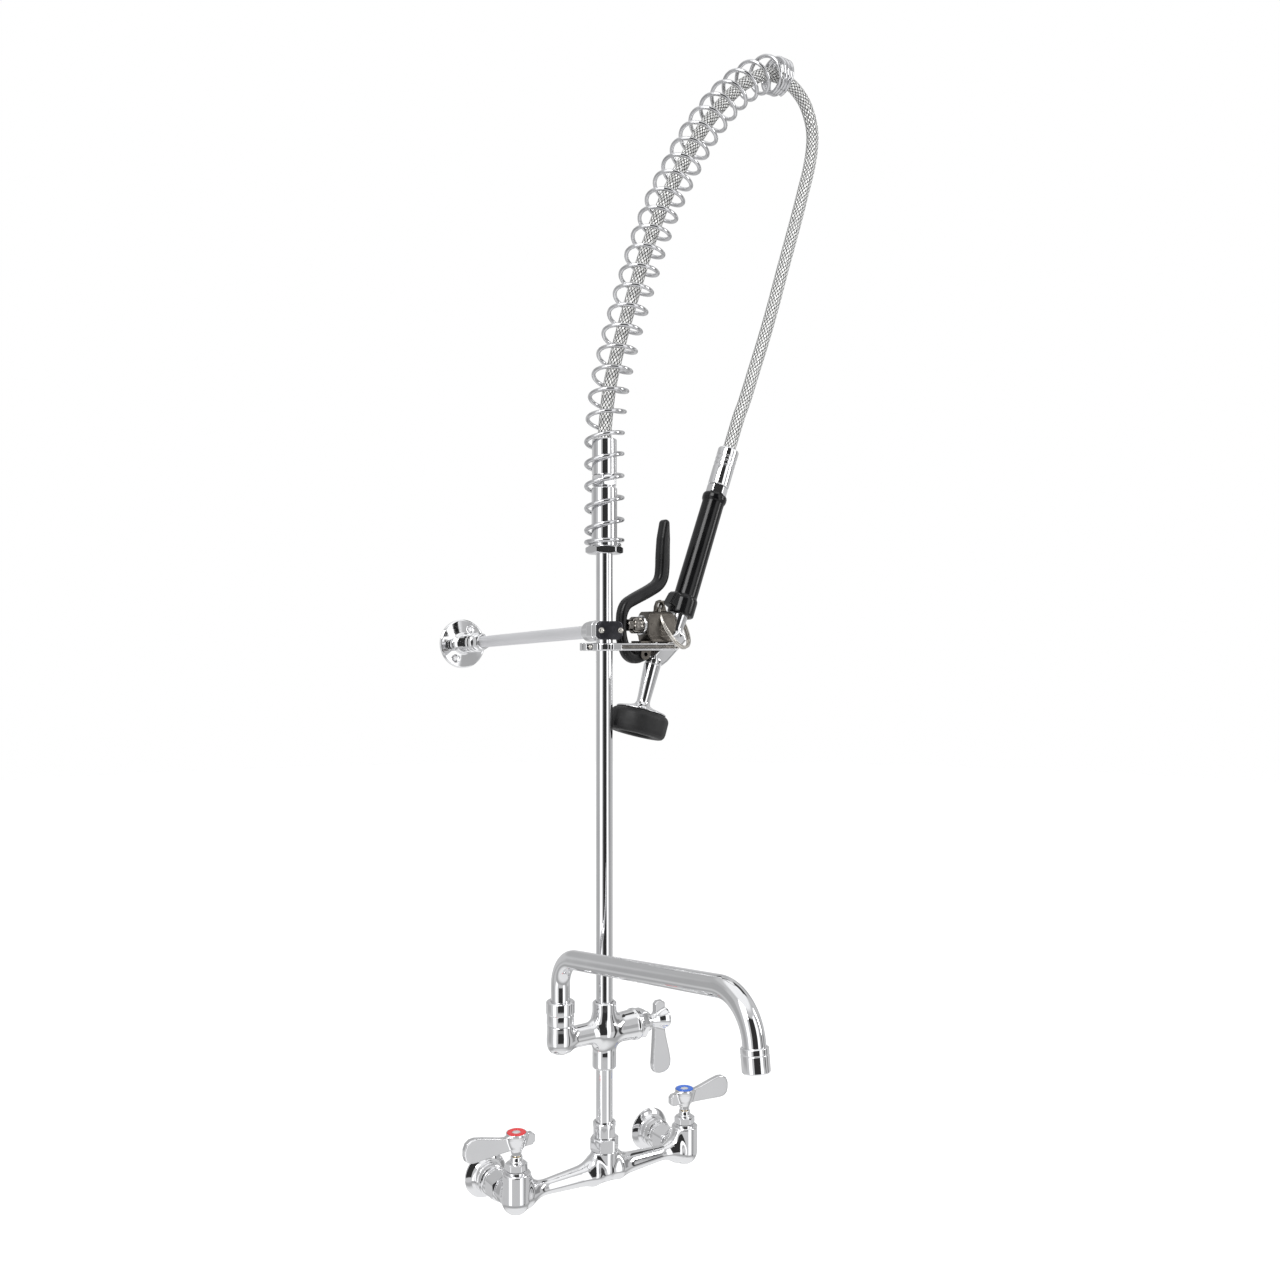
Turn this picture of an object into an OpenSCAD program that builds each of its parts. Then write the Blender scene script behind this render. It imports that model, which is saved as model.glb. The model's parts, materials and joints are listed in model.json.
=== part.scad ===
/* [Supply] */
// Distance between the hot and the cold supply inlets
inlet_spacing = 203.2; // [190:0.1:230]
// Distance from the wall to the valve stems and the riser
stem_reach = 68; // [66:1:80]
// Diameter of the round flange at each inlet
inlet_flange_d = 46; // [42:1:60]

/* [Riser] */
// Outside diameter of the riser and of the nipple under it
riser_d = 17.1; // [16.9:0.1:17.3]
// Wall thickness of the riser
riser_wall = 2.3; // [1.5:0.1:3]
// Height of the spring nut's upper face above the inlets
spring_seat_z = 643; // [641:1:645]

/* [Spout] */
// Horizontal reach of the spout, from its swivel to its outlet
spout_reach = 305; // [200:5:400]
// Outside diameter of the spout tube
spout_d = 19.05; // [18.9:0.05:19.15]
// Angle at which the spout climbs towards its outlet
spout_climb = 7.5; // [0:0.5:12]

/* [Handles] */
// Distance from a stem's axis to the tip of its handle
handle_length = 57; // [48:1:62]
// Thickness of the handle's blade
blade_t = 7; // [5:0.5:9]

/* [Spring and hose] */
// Outside diameter of the overhead spring
spring_d = 41.5; // [39:0.5:43]
// Diameter of the spring's wire
spring_wire = 3.8; // [3:0.1:4.2]
// Number of turns in the open part of the spring
open_turns = 27; // [20:1:32]
// Outside diameter of the braided hose
hose_d = 14; // [12:0.5:15]

/* [Wall bracket] */
// Length of the rod between the clamp and the wall flange
rod_length = 322; // [150:1:330]
// Angle at which the rod dips towards the wall
rod_dip = 2.5; // [0:0.5:3]
// Diameter of the wall flange
wall_flange_d = 61; // [58:1:70]

/* [Spray valve] */
// Length of the rubber grip
grip_length = 141; // [141:1:145]
// Lean of the grip from the vertical
grip_lean = 20; // [19.5:0.5:20.5]
// Diameter of the rubber bumper
bumper_d = 62; // [50:1:62]
// Thickness of the rubber bumper
bumper_t = 25; // [18:1:26]

/* [Hidden] */
$fn = 48;
// radial clearance of a turning fit, and of a fixed one
run = 0.05;
gap = 0.1;
riser_r = riser_d / 2;
bore_r = riser_r - riser_wall;
spout_r = spout_d / 2;
hose_r = hose_d / 2;

// mixing faucet: heights above the inlets
seat_z = 27;
cavity_r = 9.05;
stem_r = 4;
stub_r = 11.5;
arm_z = 7;
boss_top = 25;
thread_r = 11;
nipple_z = 54;

// add-on faucet
addon_z = 147;
addon_low = 109;
addon_high = 177;
addon_seat_x = 38;
swivel_x = -52;
elbow_top = 162;
nut_top = 186;
bend_low = 32;
bend_high = 40;
spout_drop = 12;
spout_rise_z = 201;
aerator_r = 11.5;
aerator_h = 20;

// riser head
nut_h = 8;
sleeve_r = 13.1;
sleeve_top = 698;
neck_top = 714;
ferrule_top = 748;

// hook and bracket, on the riser
fork_low = 536;
fork_high = 544;
clamp_low = 547.3;
clamp_high = 566.3;
clamp_x = 15;
screw_x = 12.2;
clamp_mid = (clamp_low + clamp_high) / 2;

// spray valve, in the riser's plane: x across, z up
hose_end = [162, 756];
ferrule_l = 44;
grip_nut_l = 10;
grip_base = hose_end - (grip_length + grip_nut_l + ferrule_l) * [sin(grip_lean), cos(grip_lean)];
stem_z = 562.5;
block_x = 47;
block_low = fork_high + 0.4;
block_half = 13;
pivot = [45, 532];
lug = [69, 583];
nozzle_top = [61.5, 527];
nozzle_lean = 16.5;
nozzle_l = 57;
ring_r = 27.25;
ring_wire_r = 1.5;
ring_slope = 46;

// route of the hose in the riser's plane, from the upper ferrule to the lower one
route = [
  [0, 748], [1, 766], [6, 805], [14, 838], [22, 866], [31, 894], [40, 921], [49, 948],
  [59, 974], [69, 998], [79, 1020], [91, 1042], [105, 1067], [122, 1095], [142, 1122],
  [163, 1146], [181, 1163], [199, 1176], [214, 1184], [230, 1186], [246, 1184], [261, 1177],
  [273, 1166], [281, 1151], [285, 1134], [284, 1114], [279, 1090], [271, 1064],
  [261, 1032], [249, 996], [237, 960], [225, 923], [212, 886], [198, 849], [184, 812],
  [176, 794], hose_end
];
// the spring stands on its nut and follows the hose as far as this point of the route
spring_last = 20;
spring_route = concat([[0, spring_seat_z + spring_wire / 2 + 0.2], [0, 700]],
                      [for (i = [0:spring_last]) route[i]]);

// ---- curve helpers ----
// point on a Catmull-Rom curve through p, at position t counted in points
function curve(p, t) =
  let(n = len(p), i = min(floor(t), n - 2), f = t - i,
      a = i > 0 ? p[i - 1] : 2 * p[0] - p[1], b = p[i], c = p[i + 1],
      d = i < n - 2 ? p[i + 2] : 2 * p[n - 1] - p[n - 2])
  0.5 * ((2 * b) + (c - a) * f + (2 * a - 5 * b + 4 * c - d) * f * f
         + (3 * b - a - 3 * c + d) * f * f * f);
function sampled(p, per) = [for (k = [0:(len(p) - 1) * per]) curve(p, k / per)];
function run_length(q, i = 1, sum = 0) =
  i >= len(q) ? [sum] : concat([sum], run_length(q, i + 1, sum + norm(q[i] - q[i - 1])));
function unit(v) = v / norm(v);
function face_ring(a, b, sides) =
  [for (j = [0:sides - 1]) let(k = (j + 1) % sides)
    each [[a + j, b + j, b + k], [a + j, b + k, a + k]]];

// round bar swept through rings of points; rings is a list of equal rings
module swept(rings) {
  sides = len(rings[0]);
  last = len(rings) - 1;
  points = [for (r = rings) each r];
  sides_faces = [for (i = [0:last - 1]) each face_ring(i * sides, (i + 1) * sides, sides)];
  cap_a = [for (j = [0:sides - 1]) j];
  cap_b = [for (j = [sides - 1:-1:0]) last * sides + j];
  polyhedron(points, concat(sides_faces, [cap_a, cap_b]), convexity = 12);
}

// ---- shape helpers ----
module tube(r_out, r_in, z0, z1) {
  difference() {
    translate([0, 0, z0]) cylinder(h = z1 - z0, r = r_out);
    translate([0, 0, z0 - 1]) cylinder(h = z1 - z0 + 2, r = r_in);
  }
}

module rod(r, z0, z1) {
  translate([0, 0, z0]) cylinder(h = z1 - z0, r = r);
}

// hexagonal prism with its corners turned off at both ends
module hex_bar(flats, z0, z1) {
  corner_r = flats / 2 / cos(30);
  cut = (corner_r - flats / 2) * 0.6;
  intersection() {
    translate([0, 0, z0]) cylinder(h = z1 - z0, r = corner_r, $fn = 6);
    rotate_extrude()
      polygon([[0, z0], [flats / 2, z0], [corner_r, z0 + cut],
               [corner_r, z1 - cut], [flats / 2, z1], [0, z1]]);
  }
}

module rounded_rect(w, h, r) {
  square([w - 2 * r, h], center = true);
  square([w, h - 2 * r], center = true);
  for (x = [-1, 1], y = [-1, 1]) {
    translate([x * (w / 2 - r), y * (h / 2 - r)]) circle(r);
  }
}

// outline drawn up the xz plane, w thick and centred on y = 0
module upright(w) {
  rotate([90, 0, 0]) linear_extrude(height = w, center = true) children();
}

// places
module at_riser() translate([0, -stem_reach, 0]) children();
module at_inlet(side) translate([side * inlet_spacing / 2, 0, 0]) rotate([90, 0, 0]) children();
module at_hot() translate([-inlet_spacing / 2, -stem_reach, 0]) rotate([0, 0, 180]) children();
module at_cold() translate([inlet_spacing / 2, -stem_reach, 0]) children();
module at_addon() translate([addon_seat_x - seat_z, -stem_reach, addon_z]) rotate([0, 90, 0]) children();
module at_swivel() translate([swivel_x, -stem_reach, 0]) children();
module at_grip() translate([grip_base[0], -stem_reach, grip_base[1]]) rotate([0, grip_lean, 0]) children();
module at_nozzle() {
  translate([nozzle_top[0], -stem_reach, nozzle_top[1]]) rotate([0, 180 + nozzle_lean, 0]) children();
}
// the bracket's rod: local z runs along it towards the wall
module at_rod() translate([0, -stem_reach, clamp_mid]) rotate([-90 - rod_dip, 0, 0]) children();

// ---- mixing faucet ----
cup_low = -14;
cup_r = 13.2;
stub_face = 36.5;
collar_top = 39.5;

module valve_cup() {
  round_z = 2;
  rotate_extrude()
    polygon(concat(
      [[0, seat_z], [cup_r - 0.6, seat_z], [cup_r, seat_z - 0.6]],
      [for (a = [0:15:90]) [cup_r * cos(a), round_z + (cup_low - round_z) * sin(a)]]));
}

module mixing_body() {
  color("gainsboro") difference() {
    union() {
      for (side = [-1, 1]) {
        translate([side * inlet_spacing / 2, -stem_reach, 0]) valve_cup();
        at_inlet(side) rod(stub_r, 43, stem_reach - 6);
        at_inlet(side) rod(8.6, stub_face, 44);
        at_inlet(side) rod(10.2, stub_face, collar_top);
      }
      translate([0, -stem_reach, arm_z]) {
        rotate([0, 90, 0]) cylinder(h = inlet_spacing / 2, r1 = 12.5, r2 = 9);
        rotate([0, -90, 0]) cylinder(h = inlet_spacing / 2, r1 = 12.5, r2 = 9);
      }
      at_riser() {
        rotate_extrude()
          polygon([[0, -9.5], [7, -9], [12, -6], [15, 0], [15.6, 7], [14.6, 13],
                   [13.2, 19], [12.8, boss_top], [0, boss_top]]);
        rod(thread_r, boss_top, 33.5);
      }
    }
    for (side = [-1, 1]) {
      translate([side * inlet_spacing / 2, -stem_reach, 0]) rod(cavity_r, -4, seat_z + 1);
      at_inlet(side) rod(6.5, stub_face - 1, stem_reach);
    }
    translate([-inlet_spacing / 2, -stem_reach, 4]) rotate([0, 90, 0]) cylinder(h = inlet_spacing, r = 4.5);
    at_riser() rod(7.5, 4, 35);
  }
}

// flange with its female supply thread, and the male end that the coupling nut runs on
module inlet_flange(side) {
  at_inlet(side) difference() {
    rotate_extrude()
      polygon([[0, 0], [inlet_flange_d / 2, 0], [inlet_flange_d / 2, 1.6],
               [inlet_flange_d / 2 - 2, 3], [17, 4.4], [15.5, 6], [15.5, 19], [14.5, 20],
               [13, 20], [13, 24.4], [10.4, 24.4], [10.4, 35], [0, 35]]);
    rod(9.6, -1, 15);
    rod(6.5, 14, 36);
  }
}

module coupling_nut(side) {
  at_inlet(side) difference() {
    hex_bar(25.4, 24.6, 42.6);
    rod(10.4 + gap, 24, collar_top + 0.2);
    rod(8.6 + gap, collar_top, 43);
  }
}

module hot_inlet_flange() color("silver") inlet_flange(-1);
module cold_inlet_flange() color("silver") inlet_flange(1);
module hot_coupling_nut() color("lightgray") coupling_nut(-1);
module cold_coupling_nut() color("lightgray") coupling_nut(1);

// one fibre washer in each inlet coupling, and one in the riser's union
module coupling_washers() {
  color("saddlebrown") {
    for (side = [-1, 1]) {
      at_inlet(side) tube(10.2, 6.5, 35, stub_face);
    }
    at_riser() tube(10.8, 7, 33.5, 35);
  }
}

// ---- valve sets: the same stem, handle and screw serve all three valves ----
cartridge_low = 10;
bonnet_low = 17;
bonnet_top = 43;

module cartridge() {
  difference() {
    union() {
      rod(cavity_r - gap, cartridge_low + 1.5, bonnet_low);
      rod(6.5, cartridge_low, cartridge_low + 2);
    }
    rod(stem_r + run, cartridge_low - 1, bonnet_low + 1);
  }
}

module bonnet(flange_r, flats, neck_r) {
  difference() {
    union() {
      rod(cavity_r - gap, bonnet_low, seat_z);
      rod(flange_r, seat_z, seat_z + 2.5);
      hex_bar(flats, seat_z + 2.5, 36.5);
      rod(neck_r, 36.5, bonnet_top);
    }
    rod(stem_r + run, bonnet_low - 1, bonnet_top + 1);
  }
}

module stem() {
  difference() {
    rod(stem_r, cartridge_low + 1, 58.5);
    rod(2.1, 49, 59);
  }
}

// round hub with a broad blade on one side and a short tail on the other
module handle() {
  blade_low = 47.5;
  blade_high = 70.5;
  tip_r = (blade_high - blade_low) / 2;
  tip_x = handle_length - tip_r;
  difference() {
    union() {
      rotate_extrude()
        polygon([[0, 44], [5.8, 44], [5.3, 49], [6.2, 53], [8.4, 59], [10.2, 62.5], [10.2, 66], [0, 66]]);
      upright(blade_t) {
        polygon([[0, 50], [tip_x, blade_low], [tip_x, blade_high], [0, 63]]);
        translate([tip_x, (blade_low + blade_high) / 2]) circle(tip_r);
        polygon([[0, 50], [-17, 51], [-19.5, 53.5], [-19.5, 60], [-17, 62.5], [0, 63]]);
      }
    }
    rod(stem_r + 0.02, 43, 58.6);
    rod(2.3, 58, 62);
    rod(4.7, 61, 65);
    rod(9.3, 64.2, 80);
  }
}

module handle_screw() {
  rod(2, 50, 61.5);
  rod(4.5, 61, 63.8);
}

module index_disc() rod(9.1, 64.2, 66.6);

module hot_cartridge() color("goldenrod") at_hot() cartridge();
module cold_cartridge() color("goldenrod") at_cold() cartridge();
module addon_cartridge() color("goldenrod") at_addon() cartridge();
module hot_bonnet() color("silver") at_hot() bonnet(10.8, 18, 6.6);
module cold_bonnet() color("silver") at_cold() bonnet(10.8, 18, 6.6);
module addon_bonnet() color("silver") at_addon() bonnet(15, 26.5, 11);
module hot_stem() color("khaki") at_hot() stem();
module cold_stem() color("khaki") at_cold() stem();
module addon_stem() color("khaki") at_addon() stem();
module hot_handle() color("gainsboro") at_hot() handle();
module cold_handle() color("gainsboro") at_cold() handle();
module addon_handle() color("gainsboro") at_addon() handle();
module hot_handle_screw() color("dimgray") at_hot() handle_screw();
module cold_handle_screw() color("dimgray") at_cold() handle_screw();
module addon_handle_screw() color("dimgray") at_addon() handle_screw();
module hot_index() color("crimson") at_hot() index_disc();
module cold_index() color("royalblue") at_cold() index_disc();

// ---- union and nipple between the two faucets ----
union_top = 38.6;
adapter_r = 11.8;

module union_nut() {
  color("lightgray") at_riser() difference() {
    hex_bar(26.6, boss_top, union_top);
    rod(thread_r + gap, boss_top - 1, 37.1);
    rod(9.4, 37, union_top + 1);
  }
}

module union_adapter() {
  color("silver") at_riser() difference() {
    union() {
      rod(10.9, 35, 37);
      rod(9.3, 36.5, union_top + 1);
      translate([0, 0, union_top]) cylinder(h = nipple_z - union_top, r = adapter_r, $fn = 8);
    }
    rod(bore_r, 34, 45);
    rod(riser_r + run, 44, nipple_z + 1);
  }
}

module lower_nipple() color("silver") at_riser() tube(riser_r, bore_r, 44, addon_low + 12);

// ---- add-on faucet ----
module addon_body() {
  boss_r = 12.25;
  elbow_r = 13.4;
  color("gainsboro") difference() {
    union() {
      at_riser() {
        rotate_extrude()
          polygon([[0, addon_low], [boss_r - 1.5, addon_low], [boss_r, addon_low + 1.5], [boss_r, 125],
                   [11.4, 129], [11.4, 156], [boss_r, 161], [boss_r, addon_high], [0, addon_high]]);
      }
      translate([swivel_x, -stem_reach, addon_z]) rotate([0, 90, 0]) cylinder(h = -swivel_x, r = 11);
      translate([0, -stem_reach, addon_z]) rotate([0, 90, 0]) cylinder(h = 34, r = 14);
      translate([0, -stem_reach, addon_z]) rotate([0, 90, 0]) rod(16.2, 33, addon_seat_x);
      at_swivel() {
        translate([0, 0, addon_z]) sphere(elbow_r);
        rod(elbow_r, addon_z, elbow_top);
        rod(stub_r, elbow_top - 1, 176);
      }
    }
    at_riser() rod(riser_r + run, addon_low - 1, addon_low + 12);
    at_riser() rod(bore_r, addon_low, addon_high);
    at_riser() rod(riser_r + run, addon_high - 12, addon_high + 1);
    at_addon() rod(cavity_r, 4, seat_z + 1);
    translate([swivel_x, -stem_reach, addon_z]) rotate([0, 90, 0]) cylinder(h = 70, r = 5.5);
    at_swivel() rod(spout_r + run, addon_z, 177);
    at_swivel() rod(stub_r - 0.8, 171, 177);
  }
}

module swivel_nut() {
  color("lightgray") at_swivel() difference() {
    rotate_extrude()
      polygon([[0, elbow_top + 0.3], [13.6, elbow_top + 0.3], [13.8, 172], [14.4, 173], [14.4, nut_top - 1],
               [13.6, nut_top], [0, nut_top]]);
    rod(stub_r + gap, elbow_top, 179.6);
    rod(spout_r + run, 179, nut_top + 1);
  }
}

module swivel_seal() {
  color("black") at_swivel() tube(stub_r - 0.9, spout_r + run, 171.1, 175.8);
}

// quarter or part bend: starts upright at the origin and leans towards the front
module elbow(bend_r, angle, r) {
  translate([0, -bend_r, 0]) rotate([90, 0, 90])
    rotate_extrude(angle = angle) translate([bend_r, 0]) circle(r);
}
module after_elbow(bend_r, angle) {
  translate([0, -bend_r * (1 - cos(angle)), bend_r * sin(angle)]) rotate([angle, 0, 0]) children();
}

low_angle = 90 - spout_climb;
level_run = spout_reach - bend_low * (1 - cos(low_angle))
            - bend_high * (sin(spout_climb) + cos(spout_climb)) - spout_drop * sin(spout_climb);
straight_run = level_run / cos(spout_climb);

// children are placed at the spout's outlet end, pointing out of it
module at_outlet() {
  at_swivel() translate([0, 0, spout_rise_z]) after_elbow(bend_low, low_angle)
    translate([0, 0, straight_run]) after_elbow(bend_high, 90) children();
}

// straight lengths are a hair thinner than the bends and run a little way into them
weld = 0.5;
slim = 0.02;
module spout_bar(r, over) {
  at_swivel() {
    rod(r - slim, 166 - over, spout_rise_z + weld);
    translate([0, 0, spout_rise_z]) {
      elbow(bend_low, low_angle, r);
      after_elbow(bend_low, low_angle) {
        rod(r - slim, -weld, straight_run + weld);
        translate([0, 0, straight_run]) {
          elbow(bend_high, 90, r);
          after_elbow(bend_high, 90) rod(r - slim, -weld, spout_drop + over);
        }
      }
    }
  }
}

module spout_tube() {
  color("gainsboro") difference() {
    union() {
      spout_bar(spout_r, 0);
      at_swivel() rod(stub_r - 0.2, 176.4, 179.2);
    }
    spout_bar(spout_r - 1.2, 1);
  }
}

aerator_start = 2.5;
module aerator_shell() {
  color("silver") at_outlet() difference() {
    rotate_extrude()
      polygon([[0, aerator_start], [aerator_r - 0.7, aerator_start], [aerator_r, aerator_start + 0.8],
               [aerator_r, aerator_start + aerator_h - 1], [aerator_r - 1, aerator_start + aerator_h],
               [0, aerator_start + aerator_h]]);
    rod(spout_r + 0.05, 0, spout_drop + 0.2);
    rod(8.6, spout_drop, aerator_start + aerator_h + 1);
  }
}

module aerator_screen() {
  color("dimgray") at_outlet() difference() {
    rod(8.5, spout_drop + 4, spout_drop + 8);
    for (a = [0:60:300]) {
      rotate([0, 0, a]) translate([5, 0, 0]) rod(1.1, spout_drop + 3, spout_drop + 9);
    }
    rod(1.1, spout_drop + 3, spout_drop + 9);
  }
}

// ---- riser head, hose and spring ----
riser_top = spring_seat_z + 17;

module riser_pipe() color("silver") at_riser() tube(riser_r, bore_r, addon_high - 12, riser_top);

module spring_nut() {
  color("lightgray") at_riser() difference() {
    hex_bar(34.6, spring_seat_z - nut_h, spring_seat_z);
    rod(riser_r + run, spring_seat_z - nut_h - 1, spring_seat_z + 1);
  }
}

module hose_adapter() {
  color("silver") at_riser() difference() {
    union() {
      rod(sleeve_r, spring_seat_z, sleeve_top);
      rod(11.7, sleeve_top, neck_top);
    }
    rod(riser_r + run, spring_seat_z - 1, riser_top + 0.2);
    rod(5, spring_seat_z, neck_top + 1);
  }
}

module upper_ferrule() {
  color("silver") at_riser() difference() {
    union() {
      hex_bar(23, neck_top, neck_top + 12);
      rod(11.6, neck_top + 12, ferrule_top);
    }
    rod(4.5, neck_top - 1, ferrule_top + 1);
  }
}

hose_sides = 10;
module hose() {
  per = 2;
  path = sampled(route, per);
  last = len(path) - 1;
  end_dir = [-sin(grip_lean), -cos(grip_lean)];
  rings = [for (i = [0:last])
    let(t = i == 0 ? [0, 1] : i == last ? end_dir : unit(path[i + 1] - path[i - 1]), n = [t[1], -t[0]])
    [for (j = [0:hose_sides - 1]) let(a = 360 * j / hose_sides)
      [path[i][0] + hose_r * cos(a) * n[0], hose_r * sin(a), path[i][1] + hose_r * cos(a) * n[1]]]];
  color("gray") at_riser() swept(rings);
}

// wire coiled about the hose's route: one closed turn at the foot, close turns at the head
wire_sides = 6;
turn_steps = 14;
closed_foot = 1;
closed_head = 2.5;
spring_path = sampled(spring_route, 6);
spring_sums = run_length(spring_path);
spring_length = spring_sums[len(spring_sums) - 1];
along_x = [for (i = [0:len(spring_path) - 1]) [spring_sums[i], spring_path[i][0]]];
along_z = [for (i = [0:len(spring_path) - 1]) [spring_sums[i], spring_path[i][1]]];
close_pitch = spring_wire + 0.4;
open_length = spring_length - (closed_foot + closed_head) * close_pitch;
open_pitch = open_length / open_turns;
all_turns = closed_foot + open_turns + closed_head;
function turn_to_s(n) =
  n < closed_foot ? n * close_pitch :
  n < closed_foot + open_turns ? closed_foot * close_pitch + (n - closed_foot) * open_pitch :
  closed_foot * close_pitch + open_length + (n - closed_foot - open_turns) * close_pitch;
function spring_point(s) = [lookup(s, along_x), lookup(s, along_z)];
function spring_wire_centre(n) =
  let(s = turn_to_s(n), p = spring_point(s),
      t = unit(spring_point(min(s + 6, spring_length)) - spring_point(max(s - 6, 0))),
      r = spring_d / 2 - spring_wire / 2, a = 360 * n)
  [p[0] + r * cos(a) * t[1], r * sin(a), p[1] - r * cos(a) * t[0]];

module overhead_spring() {
  steps = floor(all_turns * turn_steps);
  rings = [for (i = [0:steps])
    let(n = i / turn_steps, d = 0.25 / turn_steps,
        c = spring_wire_centre(n),
        w = unit(spring_wire_centre(min(n + d, all_turns)) - spring_wire_centre(max(n - d, 0))),
        axis_point = spring_point(turn_to_s(n)),
        out = unit([c[0] - axis_point[0], c[1], c[2] - axis_point[1]]),
        up = unit(cross(w, out)), side = cross(up, w))
    [for (j = [0:wire_sides - 1]) let(a = 360 * j / wire_sides)
      c + spring_wire / 2 * (cos(a) * side + sin(a) * up)]];
  color("silver") at_riser() swept(rings);
}

// ---- hook fork and wall bracket ----
fork_r = 12.5;
finger_in = 10;
finger_out = 15;
finger_end = 100;
ear_x = 26;

module hook_fork() {
  h = fork_high - fork_low;
  mid = (fork_low + fork_high) / 2;
  color("silver") at_riser() difference() {
    union() {
      rod(fork_r, fork_low, fork_high);
      translate([-ear_x, -6, fork_low]) cube([ear_x - 8, 12, h]);
      for (s = [-1, 1]) {
        translate([3, s > 0 ? finger_in : -finger_out, fork_low])
          cube([finger_end - 3 - (finger_out - finger_in) / 2, finger_out - finger_in, h]);
        translate([finger_end - (finger_out - finger_in) / 2, s * (finger_in + finger_out) / 2, fork_low])
          cylinder(h = h, d = finger_out - finger_in);
      }
    }
    rod(riser_r + run, fork_low - 1, fork_high + 1);
    translate([-ear_x - 1, -0.8, fork_low - 1]) cube([ear_x - 4, 1.6, h + 2]);
    translate([-ear_x + 5.5, 0, mid]) rotate([90, 0, 0]) cylinder(h = 30, r = 2.1, center = true);
  }
}

module hook_screw() {
  mid = (fork_low + fork_high) / 2;
  color("gold") translate([-ear_x + 5.5, -stem_reach, mid]) rotate([90, 0, 0]) {
    rod(2, -7, 7);
    rod(3.2, 6, 8);
    translate([0, 0, -8.5]) cylinder(h = 2.5, r = 3.6, $fn = 6);
  }
}

module clamp_half(y0, y1) {
  translate([0, (y0 + y1) / 2, clamp_mid]) upright(y1 - y0)
    rounded_rect(2 * clamp_x, clamp_high - clamp_low, 6);
}

hub_r = 10.5;
rod_r = 6.85;
rod_start = 14;
module bracket_hub() {
  color("silver") difference() {
    union() {
      at_riser() clamp_half(0.5, 12.5);
      at_rod() rod(hub_r, 9.5, 30);
    }
    at_riser() rod(riser_r + run, clamp_low - 2, clamp_high + 2);
    at_rod() rod(rod_r + run, rod_start, 31);
    at_rod() rotate([0, 0, 200]) translate([0, 0, 22]) rotate([-90, 0, 0]) rod(2.1, 0, 12);
    for (s = [-1, 1]) {
      translate([s * screw_x, -stem_reach, clamp_mid]) rotate([-90, 0, 0]) rod(2.05, -14, 14);
    }
  }
}

module bracket_plate() {
  color("dimgray") at_riser() difference() {
    clamp_half(-12.5, -0.5);
    rod(riser_r + run, clamp_low - 2, clamp_high + 2);
    for (s = [-1, 1]) {
      translate([s * screw_x, 0, clamp_mid]) rotate([90, 0, 0]) rod(2.05, -14, 14);
    }
  }
}

module bracket_screws() {
  color("gold") {
    for (s = [-1, 1]) {
      translate([s * screw_x, -stem_reach, clamp_mid]) rotate([90, 0, 0]) {
        rod(2, -11, 13);
        rotate_extrude() polygon([[0, 12.5], [3.1, 12.5], [2.9, 13.6], [1.8, 14.6], [0, 15]]);
      }
    }
    at_rod() rotate([0, 0, 200]) translate([0, 0, 22]) rotate([-90, 0, 0]) rod(2, 7, 11.6);
  }
}

rod_end = rod_start + rod_length;
module bracket_rod() color("lightgray") at_rod() rod(rod_r, rod_start + 0.2, rod_end - 6);

// stepped coupling that joins the rod to the flange's boss
module rod_collar() {
  color("silver") at_rod() difference() {
    union() {
      hex_bar(19, rod_end - 60, rod_end - 48);
      rotate_extrude()
        polygon([[0, rod_end - 48], [11, rod_end - 48], [12, rod_end - 47], [12, rod_end - 27],
                 [11.4, rod_end - 26], [0, rod_end - 26]]);
    }
    rod(rod_r + gap, rod_end - 61, rod_end);
  }
}

wall_screw_pcd = 42;
wall_screw_r = 2.6;
module wall_flange() {
  color("silver") at_rod() difference() {
    rotate_extrude()
      polygon([[0, rod_end], [wall_flange_d / 2, rod_end], [wall_flange_d / 2, rod_end - 2],
               [wall_flange_d / 2 - 1.5, rod_end - 3.4], [14, rod_end - 4.6], [12.5, rod_end - 6],
               [12, rod_end - 8], [11, rod_end - 9], [11, rod_end - 26], [0, rod_end - 26]]);
    rod(rod_r + gap, rod_end - 27, rod_end - 5.8);
    for (a = [0, 180]) {
      rotate([0, 0, a - 60]) translate([wall_screw_pcd / 2, 0, 0]) {
        rod(wall_screw_r, rod_end - 7, rod_end + 1);
        translate([0, 0, rod_end - 5]) cylinder(h = 2.8, r1 = 5.2, r2 = wall_screw_r);
      }
    }
  }
}

// ---- spray valve ----
module lower_ferrule() {
  low = grip_length + grip_nut_l;
  color("silver") at_grip() difference() {
    rod(11.8, low, low + ferrule_l);
    rod(4.5, low - 1, low + ferrule_l + 1);
  }
}

module grip_nut() {
  color("silver") at_grip() difference() {
    hex_bar(20.8, grip_length, grip_length + grip_nut_l);
    rod(4.5, grip_length - 1, grip_length + grip_nut_l + 1);
  }
}

waterway_r = 7.9;
// rubber sleeve with a wide foot, a flange at its head and a wedge over the valve block
module grip() {
  color("black") difference() {
    union() {
      at_grip() rotate_extrude()
        polygon([[0, 0], [13, 0], [14.5, 1.5], [14.5, 19], [13.6, 21], [12.6, 22], [12.2, 60],
                 [12, grip_length - 9], [13.5, grip_length - 7], [13.5, grip_length - 1],
                 [12.5, grip_length], [0, grip_length]]);
      at_riser() upright(16) polygon([[77.5, 586.5], [95, 574], [104, 592], [88, 600], [85, 598]]);
    }
    at_grip() rod(waterway_r + gap, -20, grip_length + 1);
  }
}

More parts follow.
